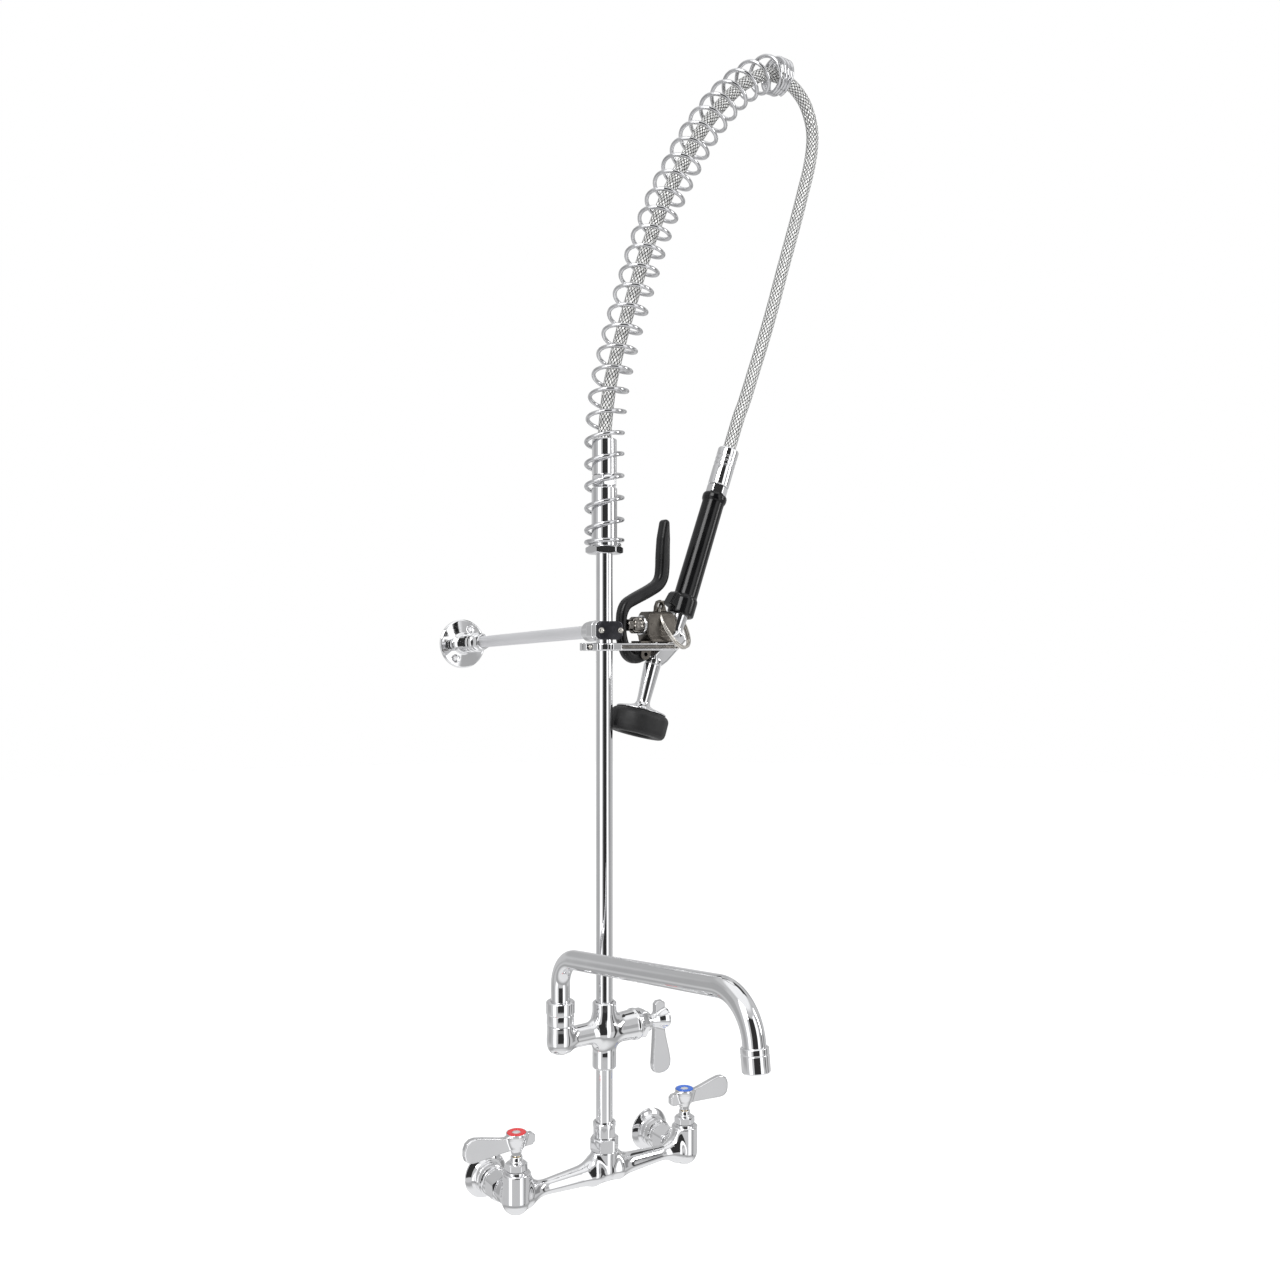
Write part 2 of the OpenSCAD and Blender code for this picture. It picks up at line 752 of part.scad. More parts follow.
module valve_body() {
  elbow_at = [87.5, 549];
  run_v = elbow_at - nozzle_top;
  run_l = norm(run_v);
  run_a = atan2(run_v[0], run_v[1]);
  color("gray") difference() {
    union() {
      at_grip() rod(waterway_r, 0, grip_length);
      at_grip() rod(7.2, -22, 1);
      at_riser() {
        upright(2 * block_half)
          polygon([[block_x, block_low], [block_x, 570], [53, 577], [77, 577], [86, 571],
                   [90, 560], [88, block_low]]);
        upright(8) polygon([[62, 575], [63, 582], [75, 582], [78, 575]]);
        translate([lug[0], 0, lug[1]]) rotate([90, 0, 0]) cylinder(h = 8, r = 6, center = true);
        for (s = [-1, 1]) {
          translate([0, s * 8.5, 0]) upright(2.4) {
            polygon([[39, block_low + 2], [39.5, 530], [50.5, 530], [58, block_low + 2]]);
            translate(pivot) circle(5.8);
          }
        }
        translate([nozzle_top[0], 0, nozzle_top[1]]) rotate([0, run_a, 0]) cylinder(h = run_l, r = 8.4);
        translate([nozzle_top[0], 0, nozzle_top[1]]) sphere(8.6);
        translate([elbow_at[0], 0, elbow_at[1]]) sphere(8.6);
      }
      at_nozzle() rod(8.4, 0, 8);
    }
    at_grip() rod(5, -21, grip_length + 1);
    at_riser() {
      translate([nozzle_top[0], 0, nozzle_top[1]]) rotate([0, run_a, 0]) cylinder(h = run_l, r = 4.5);
      translate([30, 0, stem_z]) rotate([0, 90, 0]) cylinder(h = 50, r = 6.5);
      translate([pivot[0], 0, pivot[1]]) rotate([90, 0, 0]) cylinder(h = 30, r = 2.52, center = true);
      translate([lug[0], 0, lug[1]]) rotate([90, 0, 0]) cylinder(h = 30, r = 3.6, center = true);
    }
    at_nozzle() rod(4.6, -1, 8);
    at_nozzle() rod(10, 6, 12);
  }
}

valve_stem_r = 4.6;
module valve_bonnet() {
  x0 = 32;
  color("dimgray") translate([0, -stem_reach, stem_z]) rotate([0, 90, 0]) difference() {
    union() {
      translate([0, 0, x0]) cylinder(h = 12, r = 9, $fn = 12);
      rod(10.4, 44, block_x);
      rod(6.4, block_x, 54);
    }
    rod(valve_stem_r + run, x0 - 1, 55);
  }
}

module valve_stem() {
  color("khaki") translate([0, -stem_reach, stem_z]) rotate([0, 90, 0]) {
    rod(valve_stem_r, 26, 56);
    rod(3, 56, 66);
    rod(5.6, 66, 69);
  }
}

// conical return spring, seated at the far end of the stem's bore
module return_spring() {
  color("silver") translate([0, -stem_reach, stem_z]) rotate([0, 90, 0]) tube(5.2, 4, 74.2, 80);
}

lever_w = 14;
lever_line = [[45, 532, 8], [34, 528.5, 5.2], [25.5, 537, 4.6], [21.4, 550, 4.2], [21.4, 570, 4.2],
              [27, 583.5, 5.4], [64, 603.3, 5.8], [71.8, 614, 6], [75, 670, 6.2]];
// bar of changing width through the points of lever_line, with round joints
module squeeze_lever() {
  color("black") at_riser() difference() {
    upright(lever_w) {
      for (p = lever_line) {
        translate([p[0], p[1]]) circle(p[2]);
      }
      for (i = [0:len(lever_line) - 2]) {
        a = lever_line[i];
        b = lever_line[i + 1];
        n = unit([b[1] - a[1], a[0] - b[0]]);
        polygon([[a[0], a[1]] + a[2] * n, [b[0], b[1]] + b[2] * n,
                 [b[0], b[1]] - b[2] * n, [a[0], a[1]] - a[2] * n]);
      }
    }
    translate([pivot[0], 0, pivot[1]]) rotate([90, 0, 0]) cylinder(h = 30, r = 2.5 + run, center = true);
  }
}

module lever_pin() {
  color("silver") translate([pivot[0], -stem_reach, pivot[1]]) rotate([90, 0, 0])
    cylinder(h = 19.4, r = 2.5, center = true);
}

// ring of two turns of wire, hung through the lug and round the neck of the valve
module hold_ring() {
  color("silver") translate([lug[0], -stem_reach, lug[1]]) rotate([0, ring_slope, 0])
    translate([ring_r, 0, 0]) rotate_extrude() {
      for (s = [-1, 1]) {
        translate([ring_r, s * 1.3]) circle(ring_wire_r, $fn = 24);
      }
    }
}

bumper_at = nozzle_l;
module nozzle() {
  color("silver") at_nozzle() difference() {
    union() {
      rod(7, 6, bumper_at + 4);
      rotate_extrude()
        polygon([[0, bumper_at - 8], [7, bumper_at - 8], [9, bumper_at - 3], [15, bumper_at - 1.5],
                 [15, bumper_at], [0, bumper_at]]);
    }
    rod(4.5, 5, bumper_at + 5);
  }
}

module bumper() {
  edge = 7;
  r = bumper_d / 2;
  top = bumper_at;
  low = bumper_at + bumper_t;
  color("#202020") at_nozzle() difference() {
    rotate_extrude()
      polygon(concat([[0, top], [r - edge, top]],
                     [for (a = [75:-15:0]) [r - edge + edge * cos(a), top + edge - edge * sin(a)]],
                     [for (a = [0:15:75]) [r - edge + edge * cos(a), low - edge + edge * sin(a)]],
                     [[r - edge, low], [0, low]]));
    rod(7.05, top - 1, top + 6);
    rod(17, top + 5, low + 1);
  }
}

module spray_face() {
  color("silver") at_nozzle() difference() {
    union() {
      rod(16.9, bumper_at + 5, bumper_at + 9);
      rod(12, bumper_at + 8, bumper_at + 14);
    }
    for (a = [0:45:315]) {
      rotate([0, 0, a]) translate([8.5, 0, 0]) rod(1, bumper_at + 3, bumper_at + 15);
    }
    rod(1, bumper_at + 3, bumper_at + 15);
  }
}

mixing_body();
hot_inlet_flange();
cold_inlet_flange();
hot_coupling_nut();
cold_coupling_nut();
coupling_washers();
hot_cartridge();
cold_cartridge();
hot_bonnet();
cold_bonnet();
hot_stem();
cold_stem();
hot_handle();
cold_handle();
hot_handle_screw();
cold_handle_screw();
hot_index();
cold_index();
union_nut();
union_adapter();
lower_nipple();
addon_body();
addon_cartridge();
addon_bonnet();
addon_stem();
addon_handle();
addon_handle_screw();
swivel_nut();
swivel_seal();
spout_tube();
aerator_shell();
aerator_screen();
riser_pipe();
spring_nut();
hose_adapter();
upper_ferrule();
hose();
overhead_spring();
hook_fork();
hook_screw();
bracket_hub();
bracket_plate();
bracket_screws();
bracket_rod();
rod_collar();
wall_flange();
lower_ferrule();
grip_nut();
grip();
valve_body();
valve_bonnet();
valve_stem();
return_spring();
squeeze_lever();
lever_pin();
hold_ring();
nozzle();
bumper();
spray_face();
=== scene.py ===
import json
import math
import bpy
import numpy as np
from mathutils import Matrix, Vector


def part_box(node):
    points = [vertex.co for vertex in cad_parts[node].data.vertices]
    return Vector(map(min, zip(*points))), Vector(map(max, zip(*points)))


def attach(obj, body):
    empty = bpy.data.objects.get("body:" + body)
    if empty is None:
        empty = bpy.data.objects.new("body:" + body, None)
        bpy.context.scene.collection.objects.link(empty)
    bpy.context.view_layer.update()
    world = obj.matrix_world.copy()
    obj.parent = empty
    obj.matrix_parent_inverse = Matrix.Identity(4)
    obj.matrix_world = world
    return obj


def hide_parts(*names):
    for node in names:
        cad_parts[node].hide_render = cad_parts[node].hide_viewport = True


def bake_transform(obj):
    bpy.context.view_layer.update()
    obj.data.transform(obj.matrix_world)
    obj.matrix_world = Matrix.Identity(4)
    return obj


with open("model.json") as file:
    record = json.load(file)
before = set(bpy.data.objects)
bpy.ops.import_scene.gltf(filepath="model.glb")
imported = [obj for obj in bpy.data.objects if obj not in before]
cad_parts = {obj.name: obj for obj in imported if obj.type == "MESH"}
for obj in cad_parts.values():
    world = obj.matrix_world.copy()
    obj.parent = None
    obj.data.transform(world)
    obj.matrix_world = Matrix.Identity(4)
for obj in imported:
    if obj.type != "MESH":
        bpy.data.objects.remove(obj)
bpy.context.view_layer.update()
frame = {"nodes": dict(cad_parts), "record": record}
record = frame["record"]
nodes = frame["nodes"]
mm = 0.001
print("frame loaded:", len(nodes), "nodes")


def middle(node):
    low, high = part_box(node)
    return (low + high) / 2 / mm


riserX, riserY, _ = middle("riser_pipe")
hotX = middle("hot_stem")[0]
coldX = middle("cold_stem")[0]
addonZ = middle("addon_stem")[2]
stemZ = middle("valve_stem")[2]
swivelX = middle("swivel_nut")[0]


# camera
camera = {
    "place": (-0.652, -1.100, 0.547),
    "heading": -34.0,   # degrees from looking straight at the wall
    "lens": 33.47,
}


def makeCamera():
    data = bpy.data.cameras.new("viewCamera")
    data.lens = camera["lens"]
    data.sensor_width = 36
    view = bpy.data.objects.new("viewCamera", data)
    view.location = camera["place"]
    view.rotation_euler = (math.radians(90), 0, math.radians(camera["heading"]))
    bpy.context.scene.collection.objects.link(view)
    bpy.context.scene.camera = view


makeCamera()
print("camera placed")


# mesh helpers, all in millimetres
def asMatrix(origin=(0, 0, 0), axis=(0, 0, 1), turn=0.0):
    # local z along the axis, then a turn about it in degrees
    up = Vector(axis).normalized()
    spin = Vector((0, 0, 1)).rotation_difference(up).to_matrix().to_4x4()
    return Matrix.Translation(Vector(origin)) @ spin @ Matrix.Rotation(math.radians(turn), 4, "Z")


def atRiser(x=0, z=0, axis=(0, 0, 1), turn=0.0):
    return asMatrix((riserX + x, riserY, z), axis, turn)


def turnedBy(degrees, axis):
    return Matrix.Rotation(math.radians(degrees), 4, axis)


def addMesh(name, points, faces, place=None, crease=35):
    points = np.asarray(points, float)
    if place is not None:
        m = np.array(place)
        points = points @ m[:3, :3].T + m[:3, 3]
    mesh = bpy.data.meshes.new(name)
    mesh.from_pydata((points * mm).tolist(), [], faces)
    mesh.validate()
    mesh.update()
    piece = bpy.data.objects.new(name, mesh)
    bpy.context.scene.collection.objects.link(piece)
    mesh.polygons.foreach_set("use_smooth", [True] * len(mesh.polygons))
    if crease:
        mesh.set_sharp_from_angle(angle=math.radians(crease))
    return piece


def finishPiece(piece, body, finishName, node=None, slot="chrome"):
    # body is None for a piece that runs between two bodies, which is left unattached
    piece.data.materials.clear()
    piece.data.materials.append(finish[finishName])
    if node:
        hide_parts(node)
    if body:
        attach(piece, body)
    return piece


def joined(name, pieces, crease=35):
    # several meshes of one piece under one name
    points, faces, start = [], [], 0
    for p in pieces:
        co = np.empty(len(p.data.vertices) * 3)
        p.data.vertices.foreach_get("co", co)
        points.append(co.reshape(-1, 3) / mm)
        faces += [[v + start for v in f.vertices] for f in p.data.polygons]
        start += len(p.data.vertices)
        bpy.data.objects.remove(p)
    return addMesh(name, np.concatenate(points), faces, crease=crease)


def circle(radius, sides, z=0.0):
    return [(radius * math.cos(2 * math.pi * k / sides), radius * math.sin(2 * math.pi * k / sides), z)
        for k in range(sides)]


def skin(rows, sides, closed=False):
    # quads between neighbouring rings of points
    return [(i * sides + k, i * sides + (k + 1) % sides,
            (i + 1) % rows * sides + (k + 1) % sides, (i + 1) % rows * sides + k)
        for i in range(rows if closed else rows - 1) for k in range(sides)]


def eased(profile, r, steps=3):
    # rounds the inner corners of an open (radius, height) line by r, but for the slightest bends
    leastBend, leastCut = 0.15, 0.01
    out = [profile[0]]
    for a, b, c in zip(profile, profile[1:], profile[2:]):
        a, b, c = Vector(a), Vector(b), Vector(c)
        u, v = a - b, c - b
        if u.length < 1e-6 or v.length < 1e-6:
            continue
        bend = math.pi - u.angle(v)
        cut = min(r * math.tan(bend / 2), 0.45 * u.length, 0.45 * v.length)
        if bend < leastBend or cut < leastCut:
            out.append(tuple(b))
            continue
        s, e = b + u.normalized() * cut, b + v.normalized() * cut
        for k in range(steps + 1):
            t = k / steps
            out.append(tuple(s.lerp(b, t).lerp(b.lerp(e, t), t)))
    out.append(profile[-1])
    return out


def lathe(name, profile, place=None, round=0.35, sides=72):
    # turns a (radius, height) line about local z; ends on the axis are closed
    line = eased([tuple(map(float, p)) for p in profile], round) if round else profile
    points, rows = [], []
    for r, z in line:
        if r < 1e-6:
            rows.append([len(points)])
            points.append((0, 0, z))
        else:
            rows.append([len(points) + k for k in range(sides)])
            points += circle(r, sides, z)
    faces = []
    for a, b in zip(rows, rows[1:]):
        for k in range(sides):
            n = (k + 1) % sides
            if len(a) == 1 and len(b) == 1:
                continue
            if len(a) == 1:
                faces.append((a[0], b[n], b[k]))
            elif len(b) == 1:
                faces.append((a[k], a[n], b[0]))
            else:
                faces.append((a[k], a[n], b[n], b[k]))
    return addMesh(name, points, faces, place)


def closedLoop(name, profile, place=None, round=0.35, sides=72):
    # turns a closed (radius, height) outline, such as a washer's
    around = [tuple(map(float, p)) for p in profile]
    line = eased([around[-1]] + around + [around[0]], round)[1:-1]
    points = [p for r, z in line for p in circle(r, sides, z)]
    return addMesh(name, points, skin(len(line), sides, closed=True), place)


def hexNut(name, flats, low, high, bore, place):
    # hexagonal nut with turned corners, rounded edges and a bore
    sides, cornerCut, edgeCut, faceShare = 96, 0.325, 0.35, 0.97
    half = flats / 2
    face = half * faceShare
    points = []
    for k in range(sides):
        a = 2 * math.pi * k / sides
        off = (a + math.pi / 6) % (math.pi / 3) - math.pi / 6
        edge = min(half / math.cos(off), half / math.cos(math.pi / 6) - cornerCut)
        rise = (edge - face) * 0.55
        ring = [(bore, low), (face - edgeCut, low), (face, low + edgeCut * 0.4),
            (edge, low + rise + 0.2), (edge, high - rise - 0.2), (face, high - edgeCut * 0.4),
            (face - edgeCut, high), (bore, high)]
        points += [(r * math.cos(a), r * math.sin(a), z) for r, z in ring]
    return addMesh(name, points, [f[::-1] for f in skin(sides, len(ring), closed=True)], place, 25)


def sweep(name, path, radius, sides=24, closed=False, uv=False, crease=35, up=(0, 1, 0)):
    # round bar along a path; up is where its seam starts
    path = np.asarray(path, float)
    n = len(path)
    if closed:
        tangent = np.roll(path, -1, 0) - np.roll(path, 1, 0)
    else:
        tangent = np.gradient(path, axis=0)
    tangent /= np.linalg.norm(tangent, axis=1)[:, None]
    side = np.array(up, float)
    angles = 2 * np.pi * np.arange(sides) / sides
    section = np.stack([np.cos(angles), np.sin(angles)], 1)
    points = []
    for i in range(n):
        t = tangent[i]
        side = side - t * (side @ t)
        side /= np.linalg.norm(side)
        other = np.cross(t, side)
        points.append(path[i] + radius * (section[:, :1] * side + section[:, 1:] * other))
    faces = skin(n, sides, closed)
    if not closed:
        faces += [tuple(range(sides))[::-1], tuple((n - 1) * sides + k for k in range(sides))]
    piece = addMesh(name, np.concatenate(points), faces, crease=crease)
    if uv:
        lengths = np.concatenate([[0], np.cumsum(np.linalg.norm(np.diff(path, axis=0), axis=1))])
        layer = piece.data.uv_layers.new(name="alongAround")
        for f in piece.data.polygons:
            ks = [piece.data.loops[j].vertex_index for j in f.loop_indices]
            wraps = {k % sides for k in ks} == {0, sides - 1}
            for j, k in zip(f.loop_indices, ks):
                around = 1.0 if wraps and k % sides == 0 else (k % sides) / sides
                layer.data[j].uv = (around, lengths[k // sides] / 100)
    return piece


# shapes given by their distance function, for castings with soft fillets
def softened(edges, soft):
    # distance to where two or three sides meet, with their shared edge rounded
    q = np.stack(edges, 1) + soft
    return np.linalg.norm(np.maximum(q, 0), axis=1) + np.minimum(q.max(1), 0) - soft


def bar(p, a, b, r1, r2=None):
    # round-ended bar between two points, which may taper
    a, b = np.array(a, float), np.array(b, float)
    r2 = r1 if r2 is None else r2
    h = np.clip((p - a) @ (b - a) / ((b - a) @ (b - a)), 0, 1)
    return np.linalg.norm(p - a - h[:, None] * (b - a), axis=1) - (r1 + (r2 - r1) * h)


def post(p, a, b, r1, r2=None, soft=0.4):
    # flat-ended rod between two points
    a, b = np.array(a, float), np.array(b, float)
    r2 = r1 if r2 is None else r2
    length = np.linalg.norm(b - a)
    w = (b - a) / length
    h = (p - a) @ w
    out = np.linalg.norm(p - a - h[:, None] * w, axis=1)
    r = r1 + (r2 - r1) * np.clip(h / length, 0, 1)
    return softened([out - r, np.abs(h - length / 2) - length / 2], soft)


def outline(q, corners):
    # signed distance in the plane to a polygon
    c = np.asarray(corners, float)
    best = np.full(len(q), 1e9)
    sign = np.ones(len(q))
    for i in range(len(c)):
        a, b = c[i], c[i - 1]
        e, w = b - a, q - a
        if e @ e < 1e-9:
            continue
        t = np.clip(w @ e / (e @ e), 0, 1)
        best = np.minimum(best, ((w - t[:, None] * e) ** 2).sum(1))
        c1, c2 = q[:, 1] >= a[1], q[:, 1] < b[1]
        c3 = e[0] * w[:, 1] > e[1] * w[:, 0]
        flip = (c1 & c2 & c3) | (~c1 & ~c2 & ~c3)
        sign[flip] *= -1
    return sign * np.sqrt(best)


def slab(flat, y, half, soft):
    # plane shape given thickness along y, with rounded edges
    return softened([flat, np.abs(y) - half], soft)


def turned(p, profile):
    # lathe shape about z, from its (radius, height) corners
    q = np.stack([np.hypot(p[:, 0], p[:, 1]), p[:, 2]], 1)
    return outline(q, list(profile) + [(-r, z) for r, z in profile[::-1]])


def away(p, x=0.0, z=0.0):
    # distance from a cross pin's axis, which runs along y
    return np.hypot(p[:, 0] - x, p[:, 2] - z)


def fade(value, start, width):
    # smooth step from 0 to 1
    t = np.clip((value - start) / width, 0, 1)
    return t * t * (3 - 2 * t)


def melt(a, b, k):
    # union with a fillet about k wide
    h = np.maximum(k - np.abs(a - b), 0) / k
    return np.minimum(a, b) - h * h * k / 4


def carve(a, b, k=0.3):
    # a without b
    return -melt(-a, b, k)


def cast(name, field, low, high, step, place=None):
    # skin of the shape where field(points) < 0
    probe = 0.02   # half the length that a slope is measured over
    low, high = np.array(low, float), np.array(high, float)
    axes = [np.arange(l, h + step, step) for l, h in zip(low, high)]
    grid = np.stack(np.meshgrid(*axes, indexing="ij"), -1)
    shape = grid.shape[:3]
    d = field(grid.reshape(-1, 3)).reshape(shape)
    inside = d < 0
    corner = [(i, j, k) for i in (0, 1) for j in (0, 1) for k in (0, 1)]

    def cut(a, c):
        return a[tuple(slice(i, n - 1 + i) for i, n in zip(c, shape))]

    count = sum(cut(inside, c).astype(int) for c in corner)
    mixed = (count > 0) & (count < 8)
    ids = np.full(mixed.shape, -1)
    ids[mixed] = np.arange(mixed.sum())
    total, hits = np.zeros((mixed.sum(), 3)), np.zeros(mixed.sum())
    for c in corner:
        for axis in range(3):
            if c[axis]:
                continue
            e = list(c)
            e[axis] = 1
            da, db = cut(d, c)[mixed], cut(d, e)[mixed]
            cross = (da < 0) != (db < 0)
            t = np.where(cross, da / np.where(cross, da - db, 1), 0)
            at = np.array(c, float)[None, :].repeat(len(t), 0)
            at[:, axis] += t
            total[cross] += at[cross]
            hits += cross
    base = np.stack(np.nonzero(mixed), 1)
    points = low + (base + total / hits[:, None]) * step
    for _ in range(4):   # settles the points on the surface
        here = field(points)
        slope = np.stack([(field(points + o) - field(points - o)) / (2 * probe)
            for o in np.eye(3) * probe], 1)
        points = points - np.clip(here / np.maximum((slope ** 2).sum(1), 0.2), -step, step)[:,
            None] * slope
    faces = []
    for axis in range(3):
        u, v = [(1, 2), (2, 0), (0, 1)][axis]
        a = inside.take(range(shape[axis] - 1), axis)
        b = inside.take(range(1, shape[axis]), axis)
        where = np.stack(np.nonzero(a != b), 1)
        ok = (where[:, u] > 0) & (where[:, v] > 0) & (where[:, u] < shape[u] - 1) & (where[:,
                v] < shape[v] - 1)
        where = where[ok]
        out = a[tuple(where.T)]
        quad = []
        for du, dv in ((-1, -1), (0, -1), (0, 0), (-1, 0)):
            w = where.copy()
            w[:, u] += du
            w[:, v] += dv
            quad.append(ids[tuple(w.T)])
        quad = np.stack(quad, 1)
        quad[~out] = quad[~out][:, ::-1]
        faces.append(quad)
    faces = np.concatenate(faces)
    faces = faces[(faces >= 0).all(1)]
    return addMesh(name, points, faces.tolist(), place, crease=0)


def copied(piece, name, place):
    # the same casting at another place; its mesh is in metres already
    moved = place.copy()
    moved.translation *= mm
    twin = bpy.data.objects.new(name, piece.data.copy())
    twin.data.transform(moved)
    bpy.context.scene.collection.objects.link(twin)
    return twin


def curveAt(p, t):
    # point on the smooth line through p, at t counted in points
    n = len(p)
    i = min(int(t), n - 2)
    f = t - i
    b, c = np.array(p[i]), np.array(p[i + 1])
    a = np.array(p[i - 1]) if i > 0 else 2 * b - c
    d = np.array(p[i + 2]) if i < n - 2 else 2 * c - b
    return 0.5 * (2 * b + (c - a) * f + (2 * a - 5 * b + 4 * c - d) * f * f
        + (3 * b - a - 3 * c + d) * f ** 3)


def sampled(p, per):
    return np.array([curveAt(p, k / per) for k in range((len(p) - 1) * per + 1)])


def evenly(path, step):
    gaps = np.concatenate([[0], np.cumsum(np.linalg.norm(np.diff(path, axis=0), axis=1))])
    at = np.linspace(0, gaps[-1], max(3, int(gaps[-1] / step)))
    return np.stack([np.interp(at, gaps, path[:, k]) for k in range(path.shape[1])], 1)


# studio
studio = {
    "floorHeight": -0.30,
    "floorSize": 14.0,
    "pale": (0.93, 0.93, 0.935, 1),
    "floorGlow": 0.12,
    "coolWhite": (0.985, 0.99, 1, 1),
    "around": 0.64,     # how bright the room looks in the metal
    # place, aim, size, power
    "lamps": {
        "keyLamp": ((-1.9, -1.2, 2.1), (0, 0, 0.6), (1.2, 1.2), 26),
        "sideLamp": ((1.8, -1.6, 1.2), (0, 0, 0.5), (0.5, 1.6), 12),
    },
    # lit and dark screens mirrored in the metal, in degrees: turn and half width, rise and half height,
    # then brightness and the width of the soft edge
    "screens": ((0, 360, 75, 22, 1.10, 14), (0, 360, -36, 5, 0.45, 5), (0, 360, -70, 24, 0.95, 14),
        (95, 50, 25, 10, 0.50, 12), (140, 20, 0, 20, 0.45, 8), (20, 22, 52, 10, 0.06, 4),
        (-30, 9, 30, 12, 0.35, 6), (-168, 13, 6, 36, 1.5, 3), (-77, 12, 6, 36, 1.45, 3),
        (-61, 6, 2, 12, 0.46, 3), (-115, 25, 10, 28.5, 0.035, 3), (-46, 4.5, 2, 34, 0.06, 3),
        (-58, 9, -19, 9, 0.72, 5), (-20, 8, 0, 20, 0.30, 5), (30, 10, 0, 18, 0.40, 5),
    ),
}


def mathsIn(tree):
    # gives a function that adds one maths node to the tree and returns its result
    def maths(kind, *values):
        n = tree.nodes.new("ShaderNodeMath")
        n.operation = kind
        for socket, value in zip(n.inputs, values):
            if hasattr(value, "is_linked"):
                tree.links.new(value, socket)
            else:
                socket.default_value = value
        return n.outputs[0]
    return maths


def makeWorld():
    world = bpy.data.worlds.new("studioLight")
    bpy.context.scene.world = world
    world.use_nodes = True
    tree = world.node_tree
    tree.nodes.clear()
    new, link, maths = tree.nodes.new, tree.links.new, mathsIn(tree)
    where = new("ShaderNodeTexCoord")
    split = new("ShaderNodeSeparateXYZ")
    link(where.outputs["Generated"], split.inputs[0])
    turn = maths("ARCTAN2", split.outputs[1], split.outputs[0])
    rise = maths("ARCSINE", split.outputs[2])

    def near(value, centre, half, soft, wraps):
        off = maths("SUBTRACT", value, math.radians(centre))
        if wraps:
            off = maths("WRAP", off, math.pi, -math.pi)
        n = new("ShaderNodeMapRange")
        n.interpolation_type = "SMOOTHSTEP"
        link(maths("ABSOLUTE", off), n.inputs[0])
        n.inputs[1].default_value = math.radians(half - soft / 2)
        n.inputs[2].default_value = math.radians(half + soft / 2)
        n.inputs[3].default_value = 1
        n.inputs[4].default_value = 0
        return n.outputs[0]

    room = studio["around"]
    for aimTurn, halfTurn, aimRise, halfRise, light, soft in studio["screens"]:
        seen = near(rise, aimRise, halfRise, soft, False)
        if halfTurn < 360:
            seen = maths("MULTIPLY", near(turn, aimTurn, halfTurn, soft, True), seen)
        mixed = new("ShaderNodeMix")
        link(seen, mixed.inputs[0])
        if hasattr(room, "is_linked"):
            link(room, mixed.inputs[2])
        else:
            mixed.inputs[2].default_value = room
        mixed.inputs[3].default_value = light
        room = mixed.outputs[0]
    ray = new("ShaderNodeLightPath")
    glossy = new("ShaderNodeBackground")
    glossy.inputs[0].default_value = studio["coolWhite"]
    link(room, glossy.inputs[1])
    plain = new("ShaderNodeBackground")
    plain.inputs[0].default_value = (1, 1, 1, 1)
    plain.inputs[1].default_value = 1.0
    mix = new("ShaderNodeMixShader")
    link(ray.outputs["Is Glossy Ray"], mix.inputs[0])
    link(plain.outputs[0], mix.inputs[1])
    link(glossy.outputs[0], mix.inputs[2])
    out = new("ShaderNodeOutputWorld")
    link(mix.outputs[0], out.inputs[0])


def makeFloor():
    corners = 64
    mesh = bpy.data.meshes.new("studioFloor")
    mesh.from_pydata(circle(studio["floorSize"] / 2, corners), [], [tuple(range(corners))])
    floor = bpy.data.objects.new("studioFloor", mesh)
    floor.location.z = studio["floorHeight"]
    bpy.context.scene.collection.objects.link(floor)
    made = bpy.data.materials.new("paleFloor")
    made.use_nodes = True
    shader = made.node_tree.nodes["Principled BSDF"]
    shader.inputs["Base Color"].default_value = studio["pale"]
    shader.inputs["Roughness"].default_value = 0.9
    shader.inputs["Emission Color"].default_value = (1, 1, 1, 1)
    shader.inputs["Emission Strength"].default_value = studio["floorGlow"]
    floor.data.materials.append(made)
    floor.visible_glossy = False


def makeLamp(name, place, aim, size, power):
    data = bpy.data.lights.new(name, "AREA")
    data.shape = "RECTANGLE"
    data.size, data.size_y = size
    data.energy = power
    lamp = bpy.data.objects.new(name, data)
    lamp.location = place
    lamp.rotation_euler = (Vector(aim) - Vector(place)).to_track_quat("-Z", "Y").to_euler()
    bpy.context.scene.collection.objects.link(lamp)


makeWorld()
makeFloor()
for lampName, lamp in studio["lamps"].items():
    makeLamp(lampName, *lamp)
bpy.context.scene.view_settings.view_transform = "Standard"
print("studio ready")


